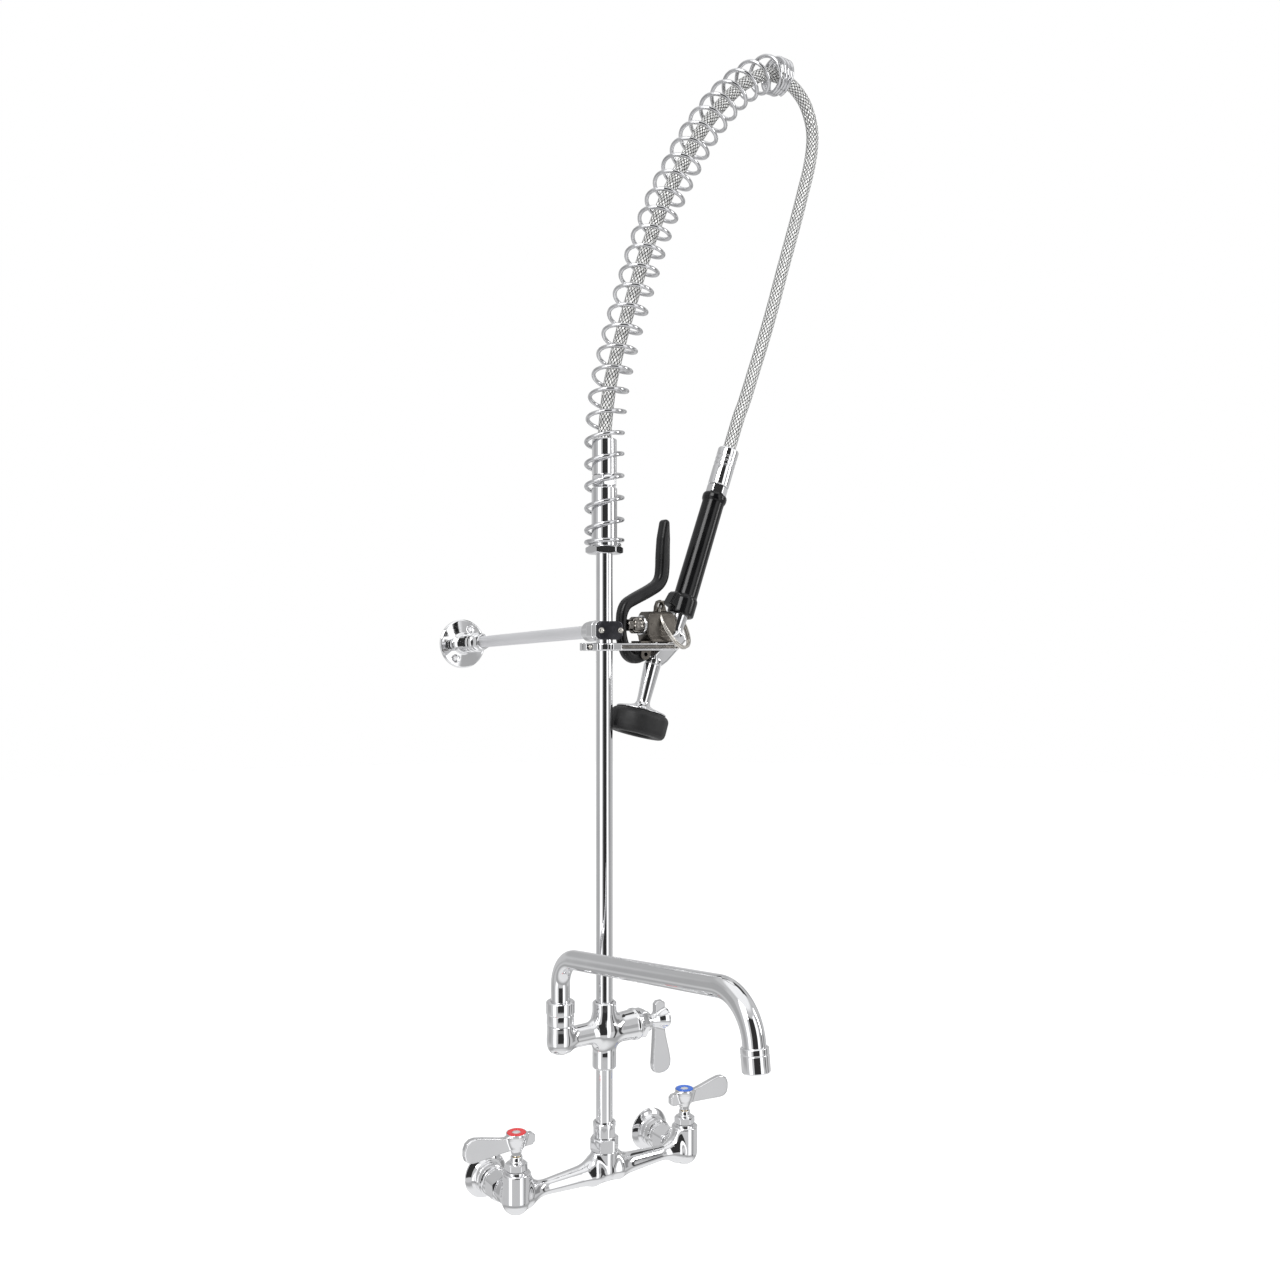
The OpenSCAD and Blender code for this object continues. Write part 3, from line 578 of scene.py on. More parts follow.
# finishes
# tones: scale and two colours that drift into each other; polish: scale, least and most roughness;
# relief: scale, depth in millimetres and detail; along: how far each of the three is drawn out along y
finishes = {
    # plate over a polished casting: mirror bright, with a faint waviness
    "castChrome": {"metal": 1, "rough": 0.05, "tones": (14, (0.79, 0.79, 0.80), (0.84, 0.84, 0.845)),
        "polish": (90, 0.025, 0.085), "relief": (55, 0.06, 1)},
    # plate over lathe-turned brass: sharper, with the finest turning marks
    "turnedChrome": {"metal": 1, "rough": 0.05, "tones": (30, (0.81, 0.81, 0.82), (0.86, 0.86, 0.865)),
        "polish": (260, 0.02, 0.07), "relief": (150, 0.012, 1)},
    "springChrome": {"metal": 1, "rough": 0.06, "tones": (40, (0.60, 0.60, 0.61), (0.72, 0.72, 0.73)),
        "polish": (320, 0.04, 0.12), "relief": (400, 0.01, 2)},
    "satinPipe": {"metal": 1, "rough": 0.45, "tones": (20, (0.86, 0.86, 0.88), (0.95, 0.95, 0.965)),
        "polish": (200, 0.40, 0.52), "relief": (500, 0.02, 2), "along": (0.2, 0.05, 0.06)},
    "darkNickel": {"metal": 1, "rough": 0.36, "tones": (60, (0.10, 0.09, 0.08), (0.16, 0.147, 0.13)),
        "polish": (300, 0.26, 0.42), "relief": (420, 0.05, 4)},
    # darker bright plate on the valve's small nut; the same finish is laid in the fork's grooves as painted shade
    "smokeChromeAndGrooveShade": {"metal": 1, "rough": 0.12, "tones": (80, (0.18, 0.17, 0.155), (0.32, 0.30, 0.275)),
        "polish": (300, 0.08, 0.18), "relief": (500, 0.01, 2)},
    # near-black metal, used only as painted shade in the pinch pocket and as a painted dark reflection on the
    # bracket's front plate
    "paintedShadeAndReflection": {"metal": 1, "rough": 0.14,
        "tones": (90, (0.040, 0.040, 0.046), (0.085, 0.085, 0.095)),
        "polish": (260, 0.10, 0.20), "relief": (320, 0.02, 2)},
    "ringNickel": {"metal": 1, "rough": 0.16, "tones": (90, (0.55, 0.52, 0.47), (0.70, 0.67, 0.62)),
        "polish": (300, 0.12, 0.24), "relief": (400, 0.01, 2)},
    "indexSilver": {"metal": 1, "rough": 0.42, "tones": (120, (0.88, 0.88, 0.89), (0.96, 0.96, 0.965)),
        "relief": (500, 0.01, 2)},
    "plainSteel": {"metal": 1, "rough": 0.25, "tones": (120, (0.52, 0.50, 0.46), (0.68, 0.66, 0.62)),
        "polish": (500, 0.16, 0.34), "relief": (900, 0.01, 2)},
    "rawBrass": {"metal": 1, "rough": 0.25, "tones": (60, (0.62, 0.47, 0.22), (0.78, 0.62, 0.33)),
        "polish": (300, 0.18, 0.34), "relief": (700, 0.012, 2)},
    "gripRubber": {"rough": 0.16, "tones": (35, (0.003, 0.003, 0.0035), (0.007, 0.007, 0.0075)),
        "polish": (60, 0.12, 0.20), "relief": (40, 0.03, 1), "sockets": {"Specular IOR Level": 0.35}},
    "dippedVinyl": {"rough": 0.3, "tones": (40, (0.003, 0.003, 0.0035), (0.008, 0.008, 0.0085)),
        "polish": (80, 0.26, 0.36), "relief": (90, 0.03, 2), "sockets": {"Specular IOR Level": 0.35}},
    "bumperRubber": {"rough": 0.5, "tones": (50, (0.006, 0.006, 0.0065), (0.014, 0.014, 0.0145)),
        "polish": (140, 0.42, 0.58), "relief": (420, 0.04, 3), "sockets": {"Specular IOR Level": 0.4}},
    "pressedFibre": {"rough": 0.8, "tones": (200, (0.28, 0.12, 0.055), (0.40, 0.20, 0.10)),
        "polish": (400, 0.7, 0.9), "relief": (900, 0.03, 2)},
    # enamel of the two index rings
    "hotRed": {"rough": 0.2, "tones": (80, (0.72, 0.012, 0.018), (0.6192, 0.01032, 0.01548)),
        "relief": (300, 0.008, 2), "sockets": {"Coat Weight": 0.4, "Coat Roughness": 0.05}},
    "coldBlue": {"rough": 0.2, "tones": (80, (0.005, 0.13, 0.66), (0.0043, 0.1118, 0.5676)),
        "relief": (300, 0.008, 2), "sockets": {"Coat Weight": 0.4, "Coat Roughness": 0.05}},
}


def mixFinish(name):
    f = finishes[name]
    made = bpy.data.materials.new(name)
    made.use_nodes = True
    tree = made.node_tree
    new, link = tree.nodes.new, tree.links.new
    shader = tree.nodes["Principled BSDF"]
    along = f.get("along", (1, 1, 1))

    def noise(scale, detail, drawn):
        where, stretch, grain = new("ShaderNodeTexCoord"), new("ShaderNodeMapping"), new("ShaderNodeTexNoise")
        stretch.inputs["Scale"].default_value = (1, drawn, 1)
        grain.inputs["Scale"].default_value = scale
        grain.inputs["Detail"].default_value = detail
        link(where.outputs["Object"], stretch.inputs[0])
        link(stretch.outputs[0], grain.inputs["Vector"])
        return grain.outputs[0]

    shader.inputs["Metallic"].default_value = f.get("metal", 0)
    shader.inputs["Roughness"].default_value = f["rough"]
    for socket, value in f.get("sockets", {}).items():
        shader.inputs[socket].default_value = value

    scale, first, second = f["tones"]
    shader.inputs["Base Color"].default_value = (*first, 1)
    ramp = new("ShaderNodeValToRGB")
    for stop, place, tone in zip(ramp.color_ramp.elements, (0.35, 0.68), (first, second)):
        stop.position = place
        stop.color = (*tone, 1)
    link(noise(scale, 2, along[0]), ramp.inputs[0])
    link(ramp.outputs[0], shader.inputs["Base Color"])

    if "polish" in f:
        scale, least, most = f["polish"]
        level = new("ShaderNodeMapRange")
        for socket, value in (("From Min", 0.3), ("From Max", 0.7), ("To Min", least),
            ("To Max", most)):
            level.inputs[socket].default_value = value
        link(noise(scale, 3, along[1]), level.inputs[0])
        link(level.outputs[0], shader.inputs["Roughness"])

    scale, depth, detail = f["relief"]
    bump = new("ShaderNodeBump")
    bump.inputs["Strength"].default_value = 1
    bump.inputs["Distance"].default_value = depth * mm
    link(noise(scale, detail, along[2]), bump.inputs["Height"])
    link(bump.outputs[0], shader.inputs["Normal"])
    return made


# the gap tone is painted shade in the crevices between strands; the strand tone is the wire's own colour
braid = {"strands": 12, "turnsPerUnit": 1.4, "wires": 3.0, "weaveShare": 0.65, "depth": 0.35,
    "gap": (0.075, 0.075, 0.07, 1), "strand": (1.0, 1.0, 0.985, 1)}


def braidSteel():
    # two layers of strands crossing over each other, from the piece's own along and around lengths
    b = braid
    made = bpy.data.materials.new("braidSteel")
    made.use_nodes = True
    tree = made.node_tree
    new, link, maths = tree.nodes.new, tree.links.new, mathsIn(tree)
    shader = tree.nodes["Principled BSDF"]
    shader.inputs["Metallic"].default_value = 1.0
    shader.inputs["Roughness"].default_value = 0.36
    uv = new("ShaderNodeUVMap")
    uv.uv_map = "alongAround"
    split = new("ShaderNodeSeparateXYZ")
    link(uv.outputs[0], split.inputs[0])
    along = maths("MULTIPLY", split.outputs[1], b["turnsPerUnit"])
    rightHand = maths("MULTIPLY", maths("ADD", split.outputs[0], along), 2 * math.pi * b["strands"])
    leftHand = maths("MULTIPLY", maths("SUBTRACT", split.outputs[0], along), 2 * math.pi * b["strands"])
    weave = maths("MULTIPLY", maths("SINE", maths("MULTIPLY", rightHand, 0.5)),
        maths("SINE", maths("MULTIPLY", leftHand, 0.5)))
    # which layer is on top, then the fine wires of that layer
    pick = new("ShaderNodeMapRange")
    pick.inputs["From Min"].default_value = -0.25
    pick.inputs["From Max"].default_value = 0.25
    link(weave, pick.inputs[0])
    height = new("ShaderNodeMix")
    link(pick.outputs[0], height.inputs[0])
    for socket, hand in ((2, rightHand), (3, leftHand)):
        link(maths("SINE", maths("MULTIPLY", hand, b["wires"])), height.inputs[socket])
    crossing = maths("ABSOLUTE", weave)
    relief = maths("ADD", maths("MULTIPLY", height.outputs[0], 1 - b["weaveShare"]),
        maths("MULTIPLY", crossing, b["weaveShare"]))
    bump = new("ShaderNodeBump")
    bump.inputs["Distance"].default_value = b["depth"] * mm
    link(relief, bump.inputs["Height"])
    link(bump.outputs[0], shader.inputs["Normal"])
    # painted shade: the colour falls to the gap tone along the strand edges, where crossing is small
    ramp = new("ShaderNodeValToRGB")
    for stop, place, tone in zip(ramp.color_ramp.elements, (0.10, 0.50), (b["gap"], b["strand"])):
        stop.position = place
        stop.color = tone
    link(crossing, ramp.inputs[0])
    link(ramp.outputs[0], shader.inputs["Base Color"])
    return made


finish = {name: mixFinish(name) for name in finishes}
finish["braidSteel"] = braidSteel()
print("finishes mixed:", len(finish))


# nodes kept as they are, with a finish each
kept = {
    "turnedChrome": ("lower_nipple", "riser_pipe"),
    "springChrome": ("return_spring",),
    "plainSteel": ("hot_handle_screw", "cold_handle_screw", "addon_handle_screw", "aerator_screen"),
    "rawBrass": ("hot_cartridge", "cold_cartridge", "addon_cartridge", "hot_stem", "cold_stem",
        "addon_stem"),
    "bumperRubber": ("swivel_seal",),
    "pressedFibre": ("coupling_washers",),
}


def dressNodes():
    for name, members in kept.items():
        for node in members:
            mesh = nodes[node].data
            mesh.materials.clear()
            mesh.materials.append(finish[name])
            mesh.polygons.foreach_set("material_index", [0] * len(mesh.polygons))


dressNodes()
print("kept nodes dressed")


# hose
hose = {
    "diameter": 14.0,
    "step": 2.0,       # between rings of the tube
    # two points given on the fall, the length that runs down to the spray valve; the climb starts on the riser
    "bendsBetween": ((284, 1112), (372, 1046)),
    # route in the riser's plane: right of the riser, height
    "route": [(0, 748), (1, 766), (6, 805), (14, 838), (22, 866), (31, 894), (40, 921), (49, 948),
        (59, 974), (69, 998), (79, 1020), (91, 1042), (105, 1067), (122, 1095), (142, 1122),
        (163, 1146), (181, 1163), (199, 1176), (214, 1184), (230, 1186), (246, 1184), (261, 1177),
        (273, 1166), (281, 1151), (285, 1134), (284, 1114), (279, 1090), (271, 1064), (261, 1032),
        (249, 996), (237, 960), (225, 923), (212, 886), (198, 849), (184, 812), (176, 794),
        (162, 756)],
}


def inPlane(x, z, y=0.0):
    return (riserX + x, riserY + y, z)


def makeHose():
    line = evenly(sampled([inPlane(x, z) for x, z in hose["route"]], 8), hose["step"])
    tube = sweep("braidedHose", line, hose["diameter"] / 2, sides=36, uv=True)
    finishPiece(tube, None, "braidSteel", "hose", "braid")
    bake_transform(tube)


makeHose()


# overhead spring
spring = {
    "outside": 41.7, "wire": 4.3, "short": 7,
    "foot": 645.1, "straightTo": 700, "lastPoint": 20,
    "closedFoot": 1, "open": 27, "closedHead": 3,
    "stepsPerTurn": 40, "wireSides": 12,
    "gap": 0.4,        # between the closed turns
    "look": 6,         # how far ahead and behind the coil takes its direction
    "trim": 0.01,      # off the wire, so the coil stays in its own space
}


def makeSpring():
    s = spring
    guide = sampled([(0, s["foot"]), (0, s["straightTo"])] + hose["route"][:s["lastPoint"] + 1], 6)
    gaps = np.concatenate([[0], np.cumsum(np.linalg.norm(np.diff(guide, axis=0), axis=1))])
    total = gaps[-1] - s["short"]
    close = s["wire"] + s["gap"]
    openLength = total - (s["closedFoot"] + s["closedHead"]) * close
    turns = s["closedFoot"] + s["open"] + s["closedHead"]
    count = int(turns * s["stepsPerTurn"])
    n = np.arange(count + 1) / s["stepsPerTurn"]
    along = np.interp(n, [0, s["closedFoot"], s["closedFoot"] + s["open"], turns],
        [0, s["closedFoot"] * close, s["closedFoot"] * close + openLength, total])

    def at(v):
        return np.stack([np.interp(v, gaps, guide[:, 0]), np.interp(v, gaps, guide[:, 1])], 1)

    centre = at(along)
    ahead = at(np.minimum(along + s["look"], total)) - at(np.maximum(along - s["look"], 0))
    ahead /= np.linalg.norm(ahead, axis=1)[:, None]
    r = (s["outside"] - s["wire"]) / 2
    a = 2 * np.pi * n
    line = np.stack([riserX + centre[:, 0] + r * np.cos(a) * ahead[:, 1], riserY + r * np.sin(a),
            centre[:, 1] - r * np.cos(a) * ahead[:, 0]], 1)
    wire = sweep("overheadSpring", line, s["wire"] / 2 - s["trim"], sides=s["wireSides"], crease=50)
    finishPiece(wire, "root", "springChrome", "overhead_spring", "spring_wire")
    print("spring wound:", turns, "turns")


makeSpring()


# mixing base
base = {
    "armRise": 5.0, "armMiddle": 12.2, "armEnd": 5.2,   # height and radii of the arms
    "cup": 13.8, "cupTop": 27, "cupLow": -14,
    "bossTop": 25, "well": 9.0,
    "fillet": 20, "cupFillet": 21, "tightFillet": 2.5, "stubFillet": 5,
    "stub": 11.5, "stubEnd": 25, "grain": 0.8,
}


def makeBase():
    b = base
    half = (coldX - hotX) / 2

    def field(p):
        q = p.copy()
        q[:, 0] = np.abs(q[:, 0])
        arm = bar(q, (0, 0, b["armRise"]), (half, 0, b["armRise"] - 1), b["armMiddle"], b["armEnd"])
        boss = turned(q, [(0, -5), (7, -4.4), (11, -1), (12.4, 4), (12.5, 11), (12.6, 18),
                (12.9, b["bossTop"]), (0, b["bossTop"])])
        # the wide fillets run along the arms only, so boss and cups stay round in front
        tight = b["tightFillet"]
        body = melt(arm, boss, tight + (b["fillet"] - tight) * fade(q[:, 0], 3, 15))
        r = b["cup"]
        local = q - (half, 0, 0)
        bowl = [(r * math.sin(a), b["cupLow"] * math.cos(a)) for a in np.linspace(0.15, math.pi / 2, 9)]
        cup = turned(local, [(0, b["cupLow"])] + bowl + [
                (r, 12), (r, b["cupTop"] - 0.8), (r - 0.8, b["cupTop"]), (0, b["cupTop"])])
        stub = post(local, (0, 0, 0), (0, b["stubEnd"], 0), b["stub"], soft=1.0)
        cup = melt(cup, stub, b["stubFillet"])
        body = melt(body, cup, tight + (b["cupFillet"] - tight) * fade(half - 1 - q[:, 0], 0, 14))
        body = np.maximum(body, q[:, 2] - np.where(q[:, 0] < half / 2, b["bossTop"], b["cupTop"]))
        well = post(local, (0, 0, 19), (0, 0, 40), b["well"], soft=0.1)
        return carve(body, well, 0.4)

    casting = cast("baseCasting", field, (-half - 16, -16, -16), (half + 16, 28, 29), b["grain"],
        atRiser())
    finishPiece(casting, "root", "castChrome", "mixing_body")
    for x, name in ((hotX, "hotConnector"), (coldX, "coldConnector")):
        spud = lathe(name, [(0, 31), (10.2, 31), (10.2, 28.6), (8.6, 28.3), (8.6, 24), (0, 24)],
            asMatrix((x, riserY, 0), (0, 1, 0)))
        finishPiece(spud, "root", "turnedChrome")
    print("base cast:", len(casting.data.vertices), "points")


makeBase()


# inlet flanges and their coupling nuts
inlet = {
    "flange": 23, "collar": 15.5, "collarFrom": 6.5, "collarTo": 19.5, "step": 13.2, "stepTo": 24.4,
    "nutFlats": 25.4, "nutFrom": 24.7, "nutTo": 42.4,
}


def makeInlets():
    i = inlet
    for x, side in ((hotX, "hot"), (coldX, "cold")):
        place = asMatrix((x, 0, 0), (0, -1, 0))
        flange = closedLoop(side + "Flange", [
                (9.6, 0.2), (i["flange"] - 0.3, 0), (i["flange"], 0.6), (i["flange"], 1.8),
                (i["flange"] - 2.4, 3.1), (17.6, 4.3), (i["collar"], i["collarFrom"]),
                (i["collar"], 12.4), (i["collar"] - 0.5, 12.8), (i["collar"] - 0.5, 13.3),
                (i["collar"], 13.7), (i["collar"], i["collarTo"]), (14.4, 20.2), (i["step"], 20.4),
                (i["step"], i["stepTo"]), (10.5, 24.6), (9.6, 24.6)], place,
            round=0.5)
        finishPiece(flange, "root", "turnedChrome", side + "_inlet_flange")
        nut = hexNut(side + "CouplingNut", i["nutFlats"], i["nutFrom"], i["nutTo"], 8.8, place)
        finishPiece(nut, "root", "turnedChrome", side + "_coupling_nut")
    print("inlets ready")


makeInlets()


# union between the base and the nipple
union = {"flats": 26.4, "from": 25.1, "to": 38.5, "sleeve": 11.7, "sleeveTop": 54, "facets": 8}


def makeUnion():
    u = union
    place = atRiser(turn=12)
    nut = hexNut("unionNut", u["flats"], u["from"], u["to"], 9.6, place)
    finishPiece(nut, "root", "turnedChrome", "union_nut")
    # faceted sleeve: flats below, a round rim on top
    count, points = 96, []
    flatShare = 0.955   # across the flats, of the round's diameter
    # height, share of the radius, and how much of the facets is left
    heights = [(u["to"], 0.86, 1), (u["to"] + 0.5, 0.9, 1), (u["to"] + 1.2, 1, 1), (47.5, 1, 1),
        (49.6, 1, 0.3), (50.4, 1, 0), (53.2, 1, 0), (53.8, 0.97, 0), (54, 0.93, 0), (54, 0.76, 0),
        (50, 0.745, 0)]
    for z, grow, flat in heights:
        for k in range(count):
            a = 2 * math.pi * k / count
            off = (a + math.pi / u["facets"]) % (2 * math.pi / u["facets"]) - math.pi / u["facets"]
            edge = min(u["sleeve"] * flatShare / math.cos(off), u["sleeve"])
            r = (edge * flat + u["sleeve"] * (1 - flat)) * grow
            points.append((r * math.cos(a), r * math.sin(a), z))
    sleeve = addMesh("unionSleeve", points, skin(len(heights), count), place, 22)
    finishPiece(sleeve, "root", "turnedChrome", "union_adapter")


makeUnion()
print("union ready")


# valve handles: one casting used three times
handle = {
    "thick": 6.2, "edge": 0.9,
    "hub": [(0, 44), (5.2, 44), (5.6, 48), (7.2, 54), (9.3, 60), (10.2, 63.5), (10.2, 66), (0, 66)],
    "grain": 0.5,
}


def addonPlace():
    # the add-on valve set lies along the riser's x, this far from its axis
    low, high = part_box("addon_stem")
    shift = low[0] / mm - riserX - 11
    return Matrix.Translation((riserX + shift, riserY, addonZ)) @ turnedBy(90, "Y")


def handleField(p):
    h = handle
    flat = outline(p[:, [0, 2]], [
            (0, 50.4), (20, 49.4), (46, 47.6), (51.5, 48.2), (55.4, 51), (57, 56), (56.8, 62),
            (54.6, 67.2), (50.5, 70), (45, 70.5), (36, 68.8), (18, 64.3), (8, 62.8), (0, 62.4)])
    tail = outline(p[:, [0, 2]], [(0, 50.8), (-16.4, 50.8), (-19.3, 53.8), (-19.3, 60.2),
            (-16.4, 63), (0, 63)])
    blade = slab(flat, p[:, 1], h["thick"] / 2, h["edge"])
    blade = np.minimum(blade, slab(tail, p[:, 1], h["thick"] / 2, h["edge"]))
    hub = turned(p, h["hub"])
    body = melt(hub, blade, 3.2)
    body = np.maximum(body, p[:, 2] - np.where(np.hypot(p[:, 0], p[:, 1]) < 10.6, 66, 90))
    recess = post(p, (0, 0, 65.1), (0, 0, 70), 9.4, soft=0.1)
    return carve(body, recess, 0.3)


def makeHandles():
    h = handle
    casting = cast("handleCasting", handleField, (-21, -12, 43), (59, 12, 72), h["grain"])
    spots = {
        "hotHandle": (asMatrix((hotX, riserY, 0), turn=180), "hot_handle_set", "hot_handle"),
        "coldHandle": (asMatrix((coldX, riserY, 0)), "cold_handle_set", "cold_handle"),
        "addonHandle": (addonPlace(), "addon_handle_set", "addon_handle"),
    }
    for name, (place, body, node) in spots.items():
        finishPiece(copied(casting, name, place), body, "castChrome", node)
    bpy.data.objects.remove(casting)
    print("handles cast")


makeHandles()


# index buttons
index = {"ring": 9.25, "button": 4.3, "low": 64.6, "top": 66.5}


def makeIndexes():
    i = index
    for side, x, finishName, slot in (("hot", hotX, "hotRed", "red_index"),
        ("cold", coldX, "coldBlue", "blue_index")):
        place = asMatrix((x, riserY, 0))
        ring = closedLoop(side + "IndexRing", [(i["button"], i["low"]), (i["ring"], i["low"]),
                (i["ring"], i["top"] - 0.35), (i["ring"] - 0.5, i["top"]),
                (i["button"] + 0.2, i["top"]), (i["button"], i["top"] - 0.3)], place, 0.2)
        finishPiece(ring, side + "_handle_set", finishName, side + "_index", slot)
        button = lathe(side + "IndexButton", [(0, i["top"] + 0.05), (2.6, i["top"] - 0.05),
                (3.4, i["top"] - 0.3), (i["button"] - 0.05, i["top"] - 0.4),
                (i["button"] - 0.05, i["low"])], place, 0.3)
        finishPiece(button, side + "_handle_set", "indexSilver")
    cap = lathe("addonIndexCap", [(0, i["top"] - 0.1), (8.4, i["top"] - 0.1), (9.0, i["top"] - 0.6),
            (9.0, i["low"])],
        addonPlace(), 0.3)
    finishPiece(cap, "addon_handle_set", "turnedChrome")


makeIndexes()


# bonnets
def makeBonnets():
    for side, x in (("hot", hotX), ("cold", coldX)):
        place = asMatrix((x, riserY, 0))
        rim = closedLoop(side + "BonnetRim", [(6.2, 24), (10.7, 24), (10.7, 29.2), (6.2, 29.2)],
            place, 0.4)
        hexPart = hexNut("x", 19.4, 29.3, 36.6, 5.2, place)
        neck = closedLoop("x", [(4.2, 36), (6.9, 36), (6.9, 38.4), (6.2, 39), (5.9, 42.4),
                (5.4, 43), (4.2, 43)],
            place, 0.4)
        finishPiece(joined(side + "Bonnet", [rim, hexPart, neck], 25), "root", "turnedChrome",
            side + "_bonnet")
    place = addonPlace()
    rim = closedLoop("x", [(6.2, 24), (14.6, 24), (14.9, 27.2), (14.9, 29), (14.2, 29.6),
            (6.2, 29.6)], place, 0.4)
    hexPart = hexNut("x", 27.2, 29.7, 36.8, 9, place)
    neck = closedLoop("x", [(4.2, 36), (11.2, 36), (11.2, 38.2), (10.6, 38.8), (10.2, 42.2),
            (9.6, 43), (4.2, 43)],
        place, 0.4)
    finishPiece(joined("addonBonnet", [rim, hexPart, neck], 25), "root", "turnedChrome", "addon_bonnet")
    print("bonnets ready")


makeBonnets()


# add-on faucet
addon = {"low": 109, "high": 177, "boss": 12.25, "link": 11, "barrel": 14, "elbow": 13.3, "socket": 9.3,
    "fillet": 10, "grain": 0.8}


def makeAddon():
    a = addon
    swivel = swivelX - riserX
    high, low = a["high"] - addonZ, a["low"] - addonZ

    def field(p):
        upright = turned(p, [(0, low), (a["boss"] - 1.4, low), (a["boss"], low + 1.4),
                (a["boss"], low + 15), (11.9, low + 20), (11.9, high - 20), (a["boss"], high - 15),
                (a["boss"], high - 1.4), (a["boss"] - 1.4, high), (0, high)])
        link = bar(p, (swivel, 0, 0), (0, 0, 0), a["link"] - 0.4, a["link"])
        barrel = post(p, (-6, 0, 0), (36, 0, 0), a["barrel"] - 1, a["barrel"] + 1.4, soft=1.2)
        lip = post(p, (34.5, 0, 0), (38, 0, 0), 16.2, soft=0.8)
        body = melt(melt(upright, melt(link, barrel, 6), a["fillet"]), lip, 1.6)
        local = p - (swivel, 0, 0)
        r = a["elbow"]
        elbow = turned(local, [(0, -r), (6.4, -r + 0.2), (10.4, -r + 2.2), (12.5, -r + 5.4),
                (r, -r + 9.6), (r, 14.7), (r - 0.6, 15.3), (0, 15.3)])
        body = melt(body, elbow, 6)
        for end in (high, low):
            body = carve(body, post(p, (0, 0, end - 3), (0, 0, end + 3), a["socket"], soft=0.2), 0.5)
        return body

    casting = cast("addonCasting", field, (swivel - 15, -18, low - 2), (40, 18, high + 2), a["grain"],
        asMatrix((riserX, riserY, addonZ)))
    finishPiece(casting, "root", "castChrome", "addon_body")
    nut = closedLoop("swivelNut", [
            (9.75, 185.9), (13.4, 185.9), (14.4, 184.9), (14.4, 174.2), (13.9, 173.4),
            (13.4, 173.0), (13.7, 172.4), (13.7, 163.2), (13.2, 162.5),
            (9.75, 162.5)], asMatrix((swivelX, riserY, 0)), 0.5)
    finishPiece(nut, "root", "turnedChrome", "swivel_nut")
    print("add-on cast:", len(casting.data.vertices), "points")


makeAddon()


# swing spout
spout = {"diameter": 19.05, "climb": 7.5, "reach": 305, "lowBend": 32, "highBend": 40, "drop": 12,
    "foot": 178, "bendFrom": 201, "stepsPerBend": 30}


def makeSpout():
    s = spout
    climb = math.radians(s["climb"])
    low = math.pi / 2 - climb
    level = (s["reach"] - s["lowBend"] * (1 - math.cos(low)) - s["highBend"] * (math.sin(climb) + math.cos(climb))
        - s["drop"] * math.sin(climb))
    run = level / math.cos(climb)
    # walks along the spout in its own plane: forward, up
    at, heading, line = np.array([0.0, s["foot"]]), math.pi / 2, []

    def go(length, turnBy=0.0):
        nonlocal at, heading
        steps = s["stepsPerBend"] if turnBy else max(2, int(length / 2))
        for k in range(steps):
            line.append(at.copy())
            heading -= turnBy / steps / 2
            at = at + length / steps * np.array([math.cos(heading), math.sin(heading)])
            heading -= turnBy / steps / 2

    go(s["bendFrom"] - s["foot"])
    go(s["lowBend"] * low, low)
    go(run)
    go(s["highBend"] * math.pi / 2, math.pi / 2)
    go(s["drop"])
    line.append(at.copy())
    path = [(swivelX, riserY - f, z) for f, z in line]
    tube = sweep("spoutTube", path, s["diameter"] / 2, sides=64, up=(1, 0, 0))
    finishPiece(tube, "spout", "castChrome", "spout_tube")
    down = np.array([math.cos(heading), math.sin(heading)])
    end = path[-1]
    place = asMatrix((end[0], end[1] + down[0] * s["drop"], end[2] - down[1] * s["drop"]),
        (0, -down[0], down[1]))
    shell = closedLoop("aeratorShell", [
            (9.55, 2.6), (10.7, 2.6), (11.5, 3.4), (11.5, 7.6), (11.2, 8), (11.2, 8.4), (11.5, 8.8),
            (11.5, 21.4), (10.6, 22.4), (8.7, 22.4), (8.5, 21.8), (8.5, 14),
            (9.55, 14)], place, 0.4)
    finishPiece(shell, "spout", "turnedChrome", "aerator_shell")
    print("spout bent:", round(run, 1), "mm straight run")


makeSpout()


# riser head: nut, sleeve and upper ferrule
head = {"nutFlats": 34.4, "nutLow": 635, "nutTop": 643, "sleeve": 13.1, "sleeveTop": 703,
    "hexFlats": 24,
    "hexTop": 715.5, "ferrule": 12.7, "ferruleTop": 753}


def makeHead():
    h = head
    place = atRiser(turn=4)
    nut = hexNut("springNut", h["nutFlats"], h["nutLow"] + 0.02, h["nutTop"] - 0.02, 8.7, place)
    finishPiece(nut, "root", "turnedChrome", "spring_nut")
    sleeve = closedLoop("riserSleeve", [
            (8.7, 643.1), (12.6, 643.1), (h["sleeve"], 643.8), (h["sleeve"], h["sleeveTop"] - 1),
            (12.3, h["sleeveTop"]), (11.2, h["sleeveTop"]), (11.2, h["sleeveTop"] + 1.4),
            (5.2, h["sleeveTop"] + 1.4), (5.2, 661), (8.7, 660)], place, 0.4)
    finishPiece(sleeve, "root", "turnedChrome", "hose_adapter")
    hexPart = hexNut("x", h["hexFlats"], h["sleeveTop"] + 1.5, h["hexTop"], 7.2, atRiser(turn=24))
    collar = closedLoop("x", [(7.2, h["hexTop"] + 0.1), (12.0, h["hexTop"] + 0.1),
            (h["ferrule"], h["hexTop"] + 0.8), (h["ferrule"], h["ferruleTop"] - 1.2),
            (12.3, h["ferruleTop"] - 0.5), (11.4, h["ferruleTop"]),
            (7.2, h["ferruleTop"])], place, 0.3)
    finishPiece(joined("upperFerrule", [hexPart, collar]), "root", "turnedChrome", "upper_ferrule")
    print("riser head ready")


makeHead()


